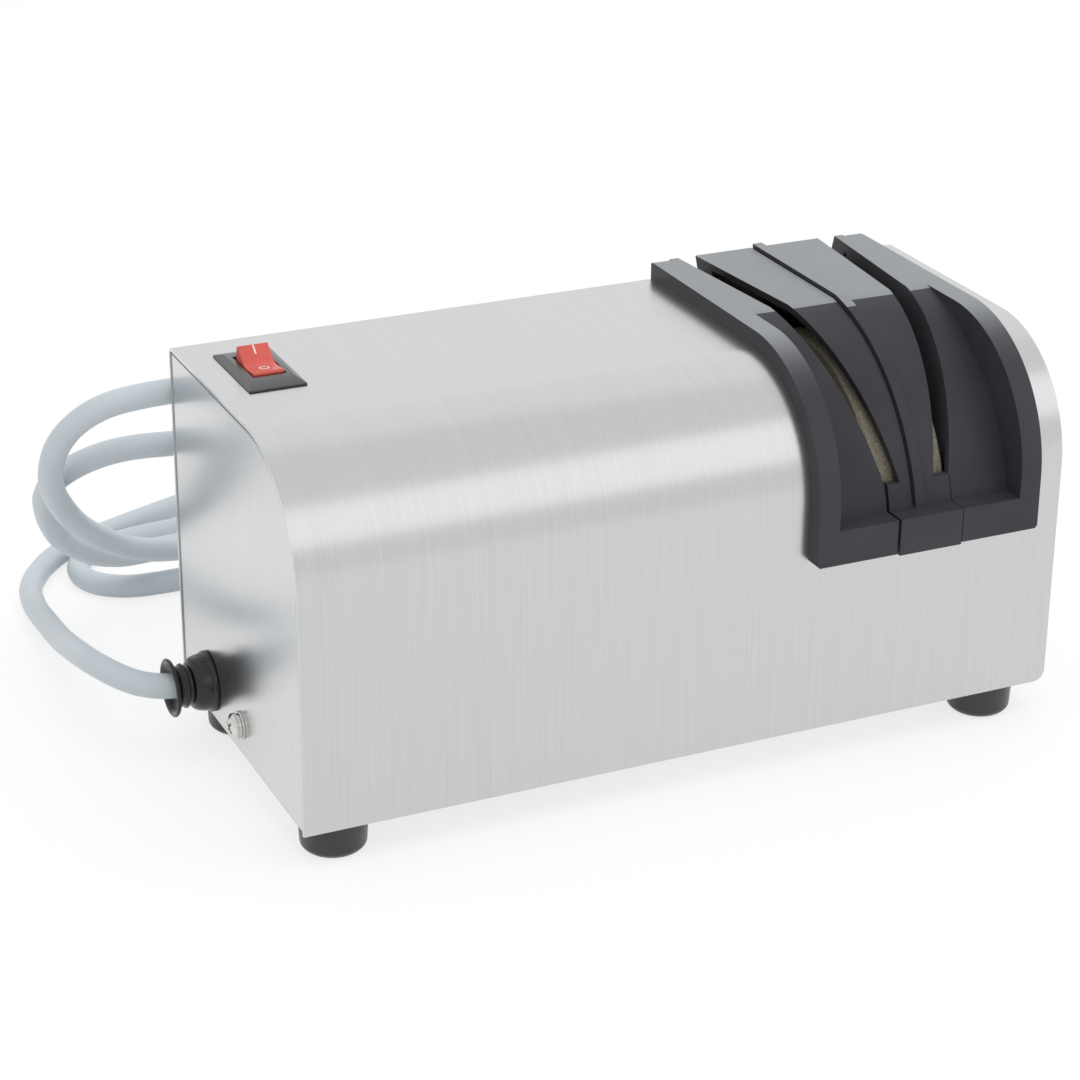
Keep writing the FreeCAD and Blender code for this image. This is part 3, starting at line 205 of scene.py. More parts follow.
class SharpenerSizes(bpy.types.PropertyGroup):
    """Sizes of the visible details."""
    cord_diameter: bpy.props.FloatProperty(
        name="Cord diameter", description="Outer diameter of the mains cord",
        default=0.0095, unit="LENGTH")
    cord_length: bpy.props.FloatProperty(
        name="Cord length", description="Length of the mains cord from gland to plug",
        default=2.0, unit="LENGTH")
    guide_edge: bpy.props.FloatProperty(
        name="Guide edge", description="Rounding of the moulded guides' edges",
        default=0.0005, unit="LENGTH")
    sheet_edge: bpy.props.FloatProperty(
        name="Sheet edge", description="Softening of the cut edges of the steel sheet",
        default=0.00018, unit="LENGTH")
    plate_bend: bpy.props.FloatProperty(
        name="Plate bend", description="Bend radius round the outer face of an end plate",
        default=0.0013, unit="LENGTH")
    mark_height: bpy.props.FloatProperty(
        name="Mark height", description="How far the marks stand out of the rocker",
        default=0.00010, unit="LENGTH")
    plug_grooves: bpy.props.IntProperty(
        name="Plug grooves", description="Grip grooves on each side of the plug",
        default=4, min=1, max=8)


class SharpenerColours(bpy.types.PropertyGroup):
    """Colours of the finishes."""
    steel: bpy.props.FloatVectorProperty(
        name="Steel", description="Brushed sheet", subtype="COLOR", size=3,
        default=(0.605, 0.61, 0.615))
    # Painted highlight: a lighter colour on the sheet's left cut edge stands in for the light that
    # edge catches
    cut_edge: bpy.props.FloatVectorProperty(
        name="Edge highlight", description="Painted highlight along the sheet's left edge", subtype="COLOR", size=3,
        default=(0.70, 0.71, 0.72))
    guide: bpy.props.FloatVectorProperty(
        name="Guides", description="Moulded knife guides", subtype="COLOR", size=3,
        default=(0.047, 0.045, 0.052))
    # Painted sheen: a lighter colour on the guides' upward faces stands in for reflected light
    guide_sheen: bpy.props.FloatVectorProperty(
        name="Guide tops", description="Painted sheen on the guides' top flats", subtype="COLOR", size=3,
        default=(0.285, 0.300, 0.312))
    bezel: bpy.props.FloatVectorProperty(
        name="Bezel", description="Frame of the switch", subtype="COLOR", size=3,
        default=(0.030, 0.032, 0.034))
    rocker: bpy.props.FloatVectorProperty(
        name="Rocker", description="Rocker of the switch", subtype="COLOR", size=3,
        default=(0.69, 0.10, 0.072))
    grit: bpy.props.FloatVectorProperty(
        name="Grit", description="Grinding wheels", subtype="COLOR", size=3,
        default=(0.30, 0.27, 0.205))
    cord: bpy.props.FloatVectorProperty(
        name="Cord", description="Jacket of the mains cord", subtype="COLOR", size=3,
        default=(0.60, 0.66, 0.70))


def sizes():
    return bpy.context.scene.sharpener_sizes


def colour_of(name):
    return tuple(getattr(bpy.context.scene.sharpener_colours, name))


# Helpers for pieces

def pick(piece=None):
    """Select nothing, or only this piece, and make it the active one."""
    if bpy.context.object and bpy.context.object.mode != "OBJECT":
        bpy.ops.object.mode_set(mode="OBJECT")
    bpy.ops.object.select_all(action="DESELECT")
    if piece is not None:
        piece.select_set(True)
        bpy.context.view_layer.objects.active = piece


def edit(piece):
    """Go into edit mode on this piece alone."""
    pick(piece)
    bpy.ops.object.mode_set(mode="EDIT")


def fix_place(piece):
    """Put the piece's place into its mesh."""
    pick(piece)
    bpy.ops.object.transform_apply(location=True, rotation=True, scale=True)


def apply_modifiers(piece):
    """Put the piece's modifiers into its mesh."""
    pick(piece)
    for modifier in list(piece.modifiers):
        bpy.ops.object.modifier_apply(modifier=modifier.name)


def close_and_orient(piece, distance=0.00001):
    """Merge points that coincide and turn all faces outwards."""
    edit(piece)
    bpy.ops.mesh.select_all(action="SELECT")
    bpy.ops.mesh.remove_doubles(threshold=distance)
    bpy.ops.mesh.normals_make_consistent(inside=False)
    bpy.ops.object.mode_set(mode="OBJECT")


def smooth(piece, degrees=40.0, weight=50):
    """Shade the piece smooth up to an angle, with its large flat faces kept flat."""
    pick(piece)
    bpy.ops.object.shade_smooth_by_angle(angle=math.radians(degrees))
    flat = piece.modifiers.new("flat faces", "WEIGHTED_NORMAL")
    flat.keep_sharp = True
    flat.weight = weight
    apply_modifiers(piece)


def bevel(piece, width, segments, degrees):
    """Round all edges that are sharper than the angle."""
    modifier = piece.modifiers.new("edge rounding", "BEVEL")
    modifier.width = width
    modifier.segments = segments
    modifier.limit_method = "ANGLE"
    modifier.angle_limit = math.radians(degrees)
    modifier.use_clamp_overlap = True
    apply_modifiers(piece)


def dress(piece, material):
    """Give the piece this material alone."""
    piece.data.materials.clear()
    piece.data.materials.append(material)


def place_piece(piece, material, body, slot, *nodes):
    """Give a finished piece its material and body, and hide the nodes that it stands for; the slot is
    not used.
    """
    dress(piece, material)
    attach(piece, body)
    if nodes:
        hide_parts(*nodes)


def select_faces(piece, test):
    """In edit mode, select the faces whose centre and normal pass the test."""
    bpy.ops.mesh.select_mode(type="FACE")
    mesh = bmesh.from_edit_mesh(piece.data)
    for face in mesh.faces:
        face.select_set(bool(test(face.calc_center_median(), face.normal)))
    bmesh.update_edit_mesh(piece.data)


def select_edges(piece, test):
    """In edit mode, select the edges that pass the test."""
    bpy.ops.mesh.select_mode(type="EDGE")
    bpy.ops.mesh.select_all(action="DESELECT")
    mesh = bmesh.from_edit_mesh(piece.data)
    for edge in mesh.edges:
        if test(edge):
            edge.select_set(True)
    bmesh.update_edit_mesh(piece.data)


def cad_copy(node, name):
    """A merged copy of a node's mesh, with its flat faces whole again."""
    piece = bpy.data.objects.new(name, NODES[node].data.copy())
    bpy.context.scene.collection.objects.link(piece)
    edit(piece)
    bpy.ops.mesh.select_all(action="SELECT")
    bpy.ops.mesh.remove_doubles(threshold=MERGE_DISTANCE)
    bpy.ops.mesh.dissolve_limited(angle_limit=FLAT_ANGLE)
    bpy.ops.object.mode_set(mode="OBJECT")
    return piece


def softened(node, name, width, segments=2, degrees=32.0):
    """A copy of a node with rounded edges."""
    piece = cad_copy(node, name)
    bevel(piece, width, segments, degrees)
    smooth(piece, degrees)
    return piece


def turned(name, outline, base, axis):
    """A turned piece: its outline is drawn point by point along the axis and spun."""
    pick()
    bpy.ops.mesh.primitive_plane_add(size=MM, location=(0, 0, 0))
    piece = bpy.context.object
    piece.name = name
    bpy.ops.object.mode_set(mode="EDIT")
    bpy.ops.mesh.select_mode(type="VERT")
    bpy.ops.mesh.select_all(action="SELECT")
    bpy.ops.mesh.merge(type="CENTER")
    along, radius = outline[0]
    bpy.ops.transform.translate(value=(radius * MM, 0.0, along * MM))
    for here, there in zip(outline, outline[1:]):
        step = ((there[1] - here[1]) * MM, 0.0, (there[0] - here[0]) * MM)
        bpy.ops.mesh.extrude_vertices_move(TRANSFORM_OT_translate={"value": step})
    bpy.ops.mesh.select_all(action="SELECT")
    bpy.ops.mesh.spin(steps=72, angle=2 * math.pi, center=(0, 0, 0), axis=(0, 0, 1))
    bpy.ops.object.mode_set(mode="OBJECT")
    piece.rotation_euler = Vector(axis).to_track_quat("Z", "Y").to_euler()
    piece.location = base
    fix_place(piece)
    close_and_orient(piece)
    smooth(piece, 50.0)
    return piece


# Shader groups

def new_group(name, inputs, outputs):
    """An empty shader group; inputs are kind, label and default, outputs are labels of values."""
    group = bpy.data.node_groups.new(name, "ShaderNodeTree")
    for kind, label, value in inputs:
        socket = group.interface.new_socket(name=label, in_out="INPUT", socket_type=kind)
        socket.default_value = value
    for label in outputs:
        group.interface.new_socket(name=label, in_out="OUTPUT", socket_type="NodeSocketFloat")
    start = group.nodes.new("NodeGroupInput")
    end = group.nodes.new("NodeGroupOutput")
    return group, start, end


def add_noise(group, vector, scale, detail, roughness=0.5):
    """A noise texture in a group; scale is a number or a socket."""
    noise = group.nodes.new("ShaderNodeTexNoise")
    noise.inputs["Detail"].default_value = detail
    noise.inputs["Roughness"].default_value = roughness
    if isinstance(scale, float):
        noise.inputs["Scale"].default_value = scale
    else:
        group.links.new(scale, noise.inputs["Scale"])
    group.links.new(vector, noise.inputs["Vector"])
    return noise.outputs["Fac"]


def add_math(nodes, links, operation, first, second):
    """A math node on a socket and on another socket or a number."""
    node = nodes.new("ShaderNodeMath")
    node.operation = operation
    links.new(first, node.inputs[0])
    if isinstance(second, float):
        node.inputs[1].default_value = second
    else:
        links.new(second, node.inputs[1])
    return node.outputs[0]


def grain_group():
    """Brush lines stretched along one direction, and slow clouds."""
    group, start, end = new_group(
        "brushed grain",
        [("NodeSocketVector", "Stretch", (1400.0, 14.0, 14.0))],
        ["Lines", "Cloud"])
    place = group.nodes.new("ShaderNodeTexCoord").outputs["Object"]
    stretch = group.nodes.new("ShaderNodeVectorMath")
    stretch.operation = "MULTIPLY"
    group.links.new(place, stretch.inputs[0])
    group.links.new(start.outputs["Stretch"], stretch.inputs[1])
    lines = add_noise(group, stretch.outputs[0], 1.0, 4.0, 0.65)
    group.links.new(lines, end.inputs["Lines"])
    group.links.new(add_noise(group, place, 7.0, 3.0), end.inputs["Cloud"])
    return group


def mould_group():
    """The fine grain of a moulded surface, with slow changes of shade."""
    group, start, end = new_group(
        "moulded grain",
        [("NodeSocketFloat", "Grain", 1800.0), ("NodeSocketFloat", "Patches", 35.0)],
        ["Height", "Shade"])
    place = group.nodes.new("ShaderNodeTexCoord").outputs["Object"]
    group.links.new(add_noise(group, place, start.outputs["Grain"], 3.0), end.inputs["Height"])
    group.links.new(add_noise(group, place, start.outputs["Patches"], 2.0), end.inputs["Shade"])
    return group


def speck_group():
    """Small scattered specks of dust, as a mask."""
    group, start, end = new_group(
        "specks",
        [("NodeSocketFloat", "Density", 700.0), ("NodeSocketFloat", "Size", 0.16)],
        ["Mask"])
    nodes, links = group.nodes, group.links
    place = nodes.new("ShaderNodeTexCoord").outputs["Object"]
    cells = nodes.new("ShaderNodeTexVoronoi")
    links.new(place, cells.inputs["Vector"])
    links.new(start.outputs["Density"], cells.inputs["Scale"])
    small = add_math(nodes, links, "LESS_THAN", cells.outputs["Distance"], start.outputs["Size"])
    dusty = add_math(nodes, links, "GREATER_THAN", add_noise(group, place, 160.0, 2.0), DUSTY_ABOVE)
    links.new(add_math(nodes, links, "MULTIPLY", small, dusty), end.inputs["Mask"])
    return group


GROUP_MAKERS = {"grain": grain_group, "mould": mould_group, "specks": speck_group}
GROUPS = {}


def start_material(name):
    """A new material, with its nodes, its links and its shader."""
    material = bpy.data.materials.new(name)
    material.use_nodes = True
    nodes = material.node_tree.nodes
    return material, nodes, material.node_tree.links, nodes["Principled BSDF"]


def add_group(nodes, name, **values):
    """Put a shared group into a material, and make the group at its first use."""
    if name not in GROUPS:
        GROUPS[name] = GROUP_MAKERS[name]()
    node = nodes.new("ShaderNodeGroup")
    node.node_tree = GROUPS[name]
    for label, value in values.items():
        node.inputs[label].default_value = value
    return node


def shade_between(nodes, links, value, shader, dark, light):
    """Feed Base Color from a noise value between two shades."""
    ramp = nodes.new("ShaderNodeValToRGB")
    ramp.color_ramp.elements[0].position = NOISE_LOW
    ramp.color_ramp.elements[1].position = NOISE_HIGH
    ramp.color_ramp.elements[0].color = (*dark, 1.0)
    ramp.color_ramp.elements[1].color = (*light, 1.0)
    links.new(value, ramp.inputs["Fac"])
    links.new(ramp.outputs["Color"], shader.inputs["Base Color"])


def value_between(nodes, links, value, socket, low, high):
    """Feed a socket from a noise value spread between two numbers."""
    spread = nodes.new("ShaderNodeMapRange")
    spread.inputs["From Min"].default_value = NOISE_LOW
    spread.inputs["From Max"].default_value = NOISE_HIGH
    spread.inputs["To Min"].default_value = low
    spread.inputs["To Max"].default_value = high
    links.new(value, spread.inputs["Value"])
    links.new(spread.outputs["Result"], socket)


def bump_from(nodes, links, value, shader, strength, distance):
    """Feed the shader's normal from a height."""
    bump = nodes.new("ShaderNodeBump")
    bump.inputs["Strength"].default_value = strength
    bump.inputs["Distance"].default_value = distance
    links.new(value, bump.inputs["Height"])
    links.new(bump.outputs["Normal"], shader.inputs["Normal"])


def blend_over(nodes, links, factor, colour, shader):
    """Lay a colour over the shader's base colour where the factor is high."""
    mix = nodes.new("ShaderNodeMix")
    mix.data_type = "RGBA"
    base = shader.inputs["Base Color"]
    links.new(factor, mix.inputs[0])
    links.new(base.links[0].from_socket, mix.inputs[6])
    mix.inputs[7].default_value = (*colour, 1.0)
    links.new(mix.outputs[2], base)


def add_tone(nodes, links, shader, attribute, colour):
    """Blend the base colour towards another one where the attribute is high."""
    tone = nodes.new("ShaderNodeAttribute")
    tone.attribute_name = attribute
    blend_over(nodes, links, tone.outputs["Fac"], colour, shader)


def mark_faces(piece, name, value):
    """Write a value for each face, from its centre and normal, as a named attribute."""
    marks = piece.data.attributes.new(name, "FLOAT", "FACE")
    for face in piece.data.polygons:
        marks.data[face.index].value = value(face.center, face.normal)


def tint(colour, factor):
    """The colour made lighter or darker by a factor."""
    return tuple(min(1.0, channel * factor) for channel in colour)


def brushed(name, colour, stretch, roughness=(0.22, 0.28), contrast=0.035, bump=0.12, tone=None):
    """Brushed sheet metal; its lines run along the axes whose stretch is small."""
    material, nodes, links, shader = start_material(name)
    grain = add_group(nodes, "grain", Stretch=stretch)
    shader.inputs["Metallic"].default_value = 1.0
    shade_between(nodes, links, grain.outputs["Lines"], shader,
                  tint(colour, 1.0 - contrast), tint(colour, 1.0 + contrast))
    if tone:
        add_tone(nodes, links, shader, *tone)
    value_between(nodes, links, grain.outputs["Cloud"], shader.inputs["Roughness"], *roughness)
    bump_from(nodes, links, grain.outputs["Lines"], shader, bump, METAL_BUMP)
    return material


def moulded(name, colour, roughness=(0.38, 0.48), grain=1800.0, bump=0.12, coat=0.0, specular=0.5,
            contrast=0.14, specks=0.0, tone=None):
    """Moulded plastic or rubber with a fine grain, and dust where specks is above nothing."""
    material, nodes, links, shader = start_material(name)
    mould = add_group(nodes, "mould", Grain=grain)
    shader.inputs["Specular IOR Level"].default_value = specular
    shader.inputs["Coat Weight"].default_value = coat
    shader.inputs["Coat Roughness"].default_value = COAT_ROUGHNESS
    shade_between(nodes, links, mould.outputs["Shade"], shader,
                  tint(colour, 1.0 - contrast), tint(colour, 1.0 + contrast))
    if specks > 0.0:
        dust = add_group(nodes, "specks", Size=specks)
        blend_over(nodes, links, dust.outputs["Mask"], DUST, shader)
    if tone:
        add_tone(nodes, links, shader, *tone)
    value_between(nodes, links, mould.outputs["Shade"], shader.inputs["Roughness"], *roughness)
    bump_from(nodes, links, mould.outputs["Height"], shader, bump, MOULD_BUMP)
    return material


def turned_metal(name, colour, roughness=(0.18, 0.3)):
    """Turned or plated metal with faint clouding."""
    material, nodes, links, shader = start_material(name)
    mould = add_group(nodes, "mould", Grain=900.0, Patches=180.0)
    shader.inputs["Metallic"].default_value = 1.0
    shade_between(nodes, links, mould.outputs["Shade"], shader, tint(colour, 0.9), tint(colour, 1.08))
    value_between(nodes, links, mould.outputs["Shade"], shader.inputs["Roughness"], *roughness)
    bump_from(nodes, links, mould.outputs["Height"], shader, 0.05, METAL_BUMP)
    return material


def abrasive():
    """Bonded abrasive: coarse bright and dark grains."""
    material, nodes, links, shader = start_material("wheel grit")
    mould = add_group(nodes, "mould", Grain=1300.0, Patches=1700.0)
    colour = colour_of("grit")
    shade_between(nodes, links, mould.outputs["Shade"], shader, tint(colour, 0.6), tint(colour, 1.35))
    shader.inputs["Roughness"].default_value = GRIT_ROUGHNESS
    bump_from(nodes, links, mould.outputs["Height"], shader, 0.8, GRIT_BUMP)
    return material


# Pieces

class SHARPENER_OT_cord(bpy.types.Operator):
    """Mains cord on one smooth line, with its moulded plug and its rubber gland"""
    bl_idname = "sharpener.cord"
    bl_label = "Cord, plug and gland"

    def execute(self, context):
        jacket = moulded("cord jacket", colour_of("cord"), (0.36, 0.44), grain=1500.0, bump=0.06,
                         contrast=0.03)
        curve = bpy.data.curves.new("mains cord", "CURVE")
        curve.dimensions = "3D"
        spline = curve.splines.new("NURBS")
        spline.points.add(len(CORD_ROUTE) - 1)
        for point, place in zip(spline.points, CORD_ROUTE):
            point.co = (*(CORNER + Vector(place)), 1.0)
        spline.order_u = 3
        spline.use_endpoint_u = True
        spline.resolution_u = 10
        curve.bevel_depth = sizes().cord_diameter / 2
        curve.bevel_resolution = 6
        curve.use_fill_caps = True
        cord = bpy.data.objects.new("mains_cord", curve)
        context.scene.collection.objects.link(cord)
        curve.materials.append(jacket)
        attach(cord, "housing")
        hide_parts(*CORD_NODES)
        plug = self.plug(context, jacket)
        gland = self.gland()
        return {"FINISHED"}

    def plug(self, context, jacket):
        """A grip with grooved sides, drawn out to the cord."""
        size = PLUG_HIGH - PLUG_LOW
        middle = (PLUG_LOW + PLUG_HIGH) / 2
        grip_length = size.x * GRIP_SHARE
        pick()
        bpy.ops.mesh.primitive_cube_add(
            size=1.0, location=(PLUG_HIGH.x - grip_length / 2, middle.y, middle.z))
        plug = context.object
        plug.name = "plug_grip"
        plug.scale = (grip_length, size.y, size.z)
        fix_place(plug)
        edit(plug)
        pitch = grip_length * GROOVED_SHARE / sizes().plug_grooves
        first = PLUG_HIGH.x - grip_length * (1.0 + GROOVED_SHARE) / 2
        for index in range(sizes().plug_grooves):
            for part in GROOVE_SIDES:
                bpy.ops.mesh.select_all(action="SELECT")
                bpy.ops.mesh.bisect(plane_co=(first + pitch * (index + part), middle.y, PLUG_LOW.z),
                                    plane_no=(1, 0, 0))
        for index in range(sizes().plug_grooves):
            place = first + pitch * (index + 0.5)
            select_faces(plug, lambda c, n: abs(n.y) > 0.8 and abs(c.x - place) < pitch * 0.1)
            bpy.ops.mesh.extrude_region_shrink_fatten(
                TRANSFORM_OT_shrink_fatten={"value": -GROOVE_DEPTH})
        end_x = PLUG_HIGH.x - grip_length
        for share, wide, thick in PLUG_STEPS:
            select_faces(plug, lambda c, n: n.x < -0.9 and c.x < end_x + AT_END)
            bpy.ops.mesh.extrude_region_move(
                TRANSFORM_OT_translate={"value": (-size.x * share, 0, 0)})
            end_x -= size.x * share
            bpy.ops.transform.resize(value=(1, wide, thick),
                                     center_override=(end_x, middle.y, PLUG_LOW.z))
        bpy.ops.object.mode_set(mode="OBJECT")
        bevel(plug, PLUG_EDGE, segments=3, degrees=25.0)
        close_and_orient(plug)
        smooth(plug)
        place_piece(plug, jacket, "housing", "cord_jacket", "plug_body")
        return plug

    def gland(self):
        """Rubber gland with a stepped base, a ribbed neck and a rolled lip."""
        black = moulded("gland rubber", (0.007, 0.007, 0.009), (0.16, 0.24), grain=1200.0)
        middle_y = CORNER.y + CORD_ROUTE[0][1]
        middle_z = CORNER.z + CORD_ROUTE[0][2]
        gland = turned("rubber_gland", GLAND_OUTLINE, (LEFT_PLATE_X, middle_y, middle_z), (-1, 0, 0))
        place_piece(gland, black, "housing", "gland_rubber", "cord_gland")
        dress(NODES["gland_nut"], black)
        return gland


class SHARPENER_OT_sheet_metal(bpy.types.Operator):
    """Folded housing and end plates in brushed steel, and the inner sheet pieces"""
    bl_idname = "sharpener.sheet_metal"
    bl_label = "Sheet metal"

    def execute(self, context):
        steel = colour_of("steel")
        wrapper_steel = brushed("brushed steel sheet", steel, (1400.0, 14.0, 14.0),
                                tone=("cut edge", colour_of("cut_edge")))
        # Painted light: the end plates take the steel's colour a tenth lighter than the wrapper
        plate_steel = brushed("brushed end plate", tint(steel, 1.1), (14.0, 1400.0, 14.0),
                              tone=("seam", SEAM_PAINTED_SHADE))
        wrapper = softened("housing_wrapper", "wrapper_sheet", sizes().sheet_edge)
        # Painted highlight on the faces of the sheet's cut edge at the left end
        mark_faces(wrapper, "cut edge", lambda c, n: float(n.x < -0.9 and c.x < CORNER.x + AT_END))
        place_piece(wrapper, wrapper_steel, "housing", "steel_wrapper", "housing_wrapper")
        gland_hole = (CORNER.y + CORD_ROUTE[0][1], CORNER.z + CORD_ROUTE[0][2], GLAND_HOLE_REACH)
        screw_middle = (SCREW_LOW + SCREW_HIGH) / 2
        screw_hole = (screw_middle.y, screw_middle.z, SCREW_HOLE_REACH)
        for node, name, outer_x, holes in (
                ("left_end_plate", "left_plate_sheet", LEFT_PLATE_X, (gland_hole, screw_hole)),
                ("right_end_plate", "right_plate_sheet", RIGHT_PLATE_X, ())):
            plate = self.folded_plate(node, name, outer_x, holes)
            place_piece(plate, plate_steel, "housing", "steel_wrapper", node)
        zinc = brushed("zinc sheet", (0.42, 0.43, 0.44), (300.0, 300.0, 30.0), (0.4, 0.55),
                       contrast=0.08, bump=0.15)
        for node in ("base_plate", "motor_cradle", "capacitor_clip"):
            dress(NODES[node], zinc)
        return {"FINISHED"}

    def folded_plate(self, node, name, outer_x, holes):
        """A copy of an end plate whose outer face turns into its rim on a bend radius."""
        plate = cad_copy(node, name)
        edit(plate)
        for y, _, _ in holes:
            bpy.ops.mesh.select_all(action="SELECT")
            bpy.ops.mesh.bisect(plane_co=(0.0, y, 0.0), plane_no=(0, 1, 0))

        def on_outer_face(edge):
            outer = all(abs(vertex.co.x - outer_x) < SAME_PLANE for vertex in edge.verts)
            return outer and len(edge.link_faces) == 2

        def stray(edge):
            """Flat, and not a cut through a hole's middle."""
            on_cut = any(all(abs(vertex.co.y - y) < SAME_PLANE for vertex in edge.verts)
                         for y, _, _ in holes)
            return on_outer_face(edge) and edge.calc_face_angle(1.0) < 0.01 and not on_cut

        def bent(edge):
            """Sharp, and not at a hole."""
            middle = (edge.verts[0].co + edge.verts[1].co) / 2
            at_hole = any(math.hypot(middle.y - y, middle.z - z) < reach for y, z, reach in holes)
            return on_outer_face(edge) and edge.calc_face_angle(0.0) > 0.5 and not at_hole

        bend = sizes().plate_bend
        low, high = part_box(node)
        select_edges(plate, stray)
        bpy.ops.mesh.dissolve_edges(use_verts=False)
        select_edges(plate, bent)
        bpy.ops.mesh.bevel(offset=bend, segments=4, affect="EDGES")
        bpy.ops.object.mode_set(mode="OBJECT")
        smooth(plate, degrees=32.0, weight=100)

        def seam(centre, normal):
            """Painted shade: nothing off the bend, most on the bend where it faces up."""
            to_rim = min(centre.y - low.y, high.y - centre.y, centre.z - low.z, high.z - centre.z)
            on_curve = centre.y < CURVE_Y and centre.z > CURVE_Z
            near_rim = on_curve or to_rim <= bend * SEAM_SHADING_REACH
            if abs(normal.x) > 0.99 or abs(centre.x - outer_x) > bend or not near_rim:
                return 0.0
            return min(1.0, max(LEAST_SEAM_SHADING, normal.z * SEAM_SHADING_GROWTH))

        mark_faces(plate, "seam", seam)
        return plate


class SHARPENER_OT_guides(bpy.types.Operator):
    """Moulded knife guides with rounded edges and a painted sheen on their top flats"""
    bl_idname = "sharpener.guides"
    bl_label = "Knife guides"

    def execute(self, context):
        # The tone lays the lighter colour of the painted sheen on the guides' tops
        plastic = moulded("guide plastic", colour_of("guide"), (0.34, 0.42), grain=2400.0, bump=0.10,
                          specular=0.14, tone=("satin", colour_of("guide_sheen")))
        for node in GUIDES:
            name = node.replace("guide", "guide_moulding")
            guide = softened(node, name, sizes().guide_edge, degrees=28.0)
            self.mark_painted_sheen(guide)
            place_piece(guide, plastic, "housing", "guide_plastic", node)
        return {"FINISHED"}

    def mark_painted_sheen(self, guide):
        """Mark the painted sheen on the outer faces: fully on the flats, fading down the front curve.
        """
        def proud(place):
            """How far a place stands out of the housing."""
            if place.y > CURVE_Y:
                return place.z - FAR_CORNER.z
            if place.z > CURVE_Z:
                return math.hypot(place.y - CURVE_Y, place.z - CURVE_Z) - CURVE_RADIUS
            return CORNER.y - place.y

        def upward(place):
            """One on the flats, and down to nothing along the front curve."""
            if place.y > CURVE_Y:
                return 1.0
            if place.z < CURVE_Z:
                return 0.0
            rise = (place.z - CURVE_Z) / math.hypot(place.y - CURVE_Y, place.z - CURVE_Z)
            return max(0.0, (rise - SHEEN_START) / (1.0 - SHEEN_START))

        mesh = guide.data
        marks = mesh.attributes.new("satin", "FLOAT", "CORNER")
        for face in mesh.polygons:
            if proud(face.center) < OUTER_FACES_PROUD or abs(face.normal.x) > 0.5:
                continue
            for loop in face.loop_indices:
                place = mesh.vertices[mesh.loops[loop].vertex_index].co
                fade = upward(place) ** SHEEN_FADE
                marks.data[loop].value = SHEEN_LEAST + (1.0 - SHEEN_LEAST) * fade


class SHARPENER_OT_wheels(bpy.types.Operator):
    """Grit on the grinding wheels, and turned steel on the hubs and the shaft"""
    bl_idname = "sharpener.wheels"
    bl_label = "Grinding wheels and shaft"

    def execute(self, context):
        grit = abrasive()
        for node in ("left_wheel", "right_wheel"):
            dress(NODES[node], grit)
        turned_steel = turned_metal("turned steel", (0.5, 0.5, 0.5), (0.25, 0.4))
        for node in ("motor_shaft", "drive_key", "left_wheel_hub", "right_wheel_hub", "stop_collar",
                     "shaft_washer", "shaft_nut", "wheel_spring", "left_bearing", "right_bearing"):
            dress(NODES[node], turned_steel)
        return {"FINISHED"}


class SHARPENER_OT_switch(bpy.types.Operator):
    """Switch bezel, its rocker and the two white marks"""
    bl_idname = "sharpener.switch"
    bl_label = "Rocker switch"

    def execute(self, context):
        bezel = softened("switch_housing", "switch_bezel", BEZEL_EDGE, segments=3, degrees=20.0)
        # Painted shade: the bezel's faces that turn to the front are darkened
        mark_faces(bezel, "front slope", lambda c, n: float(n.y < -0.3))
        black = moulded("bezel plastic", colour_of("bezel"), (0.36, 0.44), grain=2600.0, bump=0.08,
                        coat=0.6, tone=("front slope", BEZEL_PAINTED_SHADE))
        place_piece(bezel, black, "housing", "bezel_plastic", "switch_housing")
        rocker = softened("switch_rocker", "rocker_cap", ROCKER_EDGE, segments=4, degrees=34.0)
        red = moulded("rocker plastic", colour_of("rocker"), (0.26, 0.34), grain=900.0, bump=0.02)
        place_piece(rocker, red, "rocker", "rocker_plastic", "switch_rocker")
        white = moulded("mark paint", (0.9, 0.88, 0.86), (0.4, 0.5), grain=900.0, bump=0.03)
        for make in (self.bar, self.ring):
            mark = make(context)
            self.lay_on(mark, rocker)
            place_piece(mark, white, "rocker", "rocker_plastic")
        return {"FINISHED"}

    def above(self, along):
        """A place above the rocker, this far along the switch from its middle."""
        middle = (ROCKER_LOW + ROCKER_HIGH) / 2
        return (middle.x, middle.y + along, ROCKER_HIGH.z + MARK_DROP)

    def bar(self, context):
        """The short bar for on, flat above the rocker."""
        pick()
        bpy.ops.mesh.primitive_plane_add(size=1.0, location=self.above(BAR_Y))
        mark = context.object
        mark.name = "rocker_mark_on"
        mark.scale = (BAR_WIDTH, BAR_LENGTH, 1.0)
        fix_place(mark)
        edit(mark)
        bpy.ops.mesh.select_all(action="SELECT")
        bpy.ops.mesh.subdivide(number_cuts=8)
        bpy.ops.object.mode_set(mode="OBJECT")
        return mark

    def ring(self, context):
        """The ring for off, flat above the rocker."""
        pick()
        bpy.ops.mesh.primitive_circle_add(
            vertices=48, radius=RING_RADIUS, fill_type="NGON", location=self.above(RING_Y))
        mark = context.object
        mark.name = "rocker_mark_off"
        mark.scale = (1.0, RING_STRETCH, 1.0)
        fix_place(mark)
        edit(mark)
        bpy.ops.mesh.select_all(action="SELECT")
        bpy.ops.mesh.inset(thickness=RING_WIDTH)
        bpy.ops.mesh.delete(type="FACE")
        bpy.ops.object.mode_set(mode="OBJECT")
        return mark

    def lay_on(self, mark, rocker):
        """Drop a flat mark onto the rocker and give it its height."""
        wrap = mark.modifiers.new("lie on rocker", "SHRINKWRAP")
        wrap.target = rocker
        wrap.wrap_method = "PROJECT"
        wrap.use_project_z = True
        wrap.use_negative_direction = True
        wrap.use_positive_direction = False
        wrap.offset = MARK_CLEARANCE
        thick = mark.modifiers.new("thickness", "SOLIDIFY")
        thick.thickness = sizes().mark_height
        thick.offset = 1.0
        apply_modifiers(mark)
        close_and_orient(mark, 0.000001)


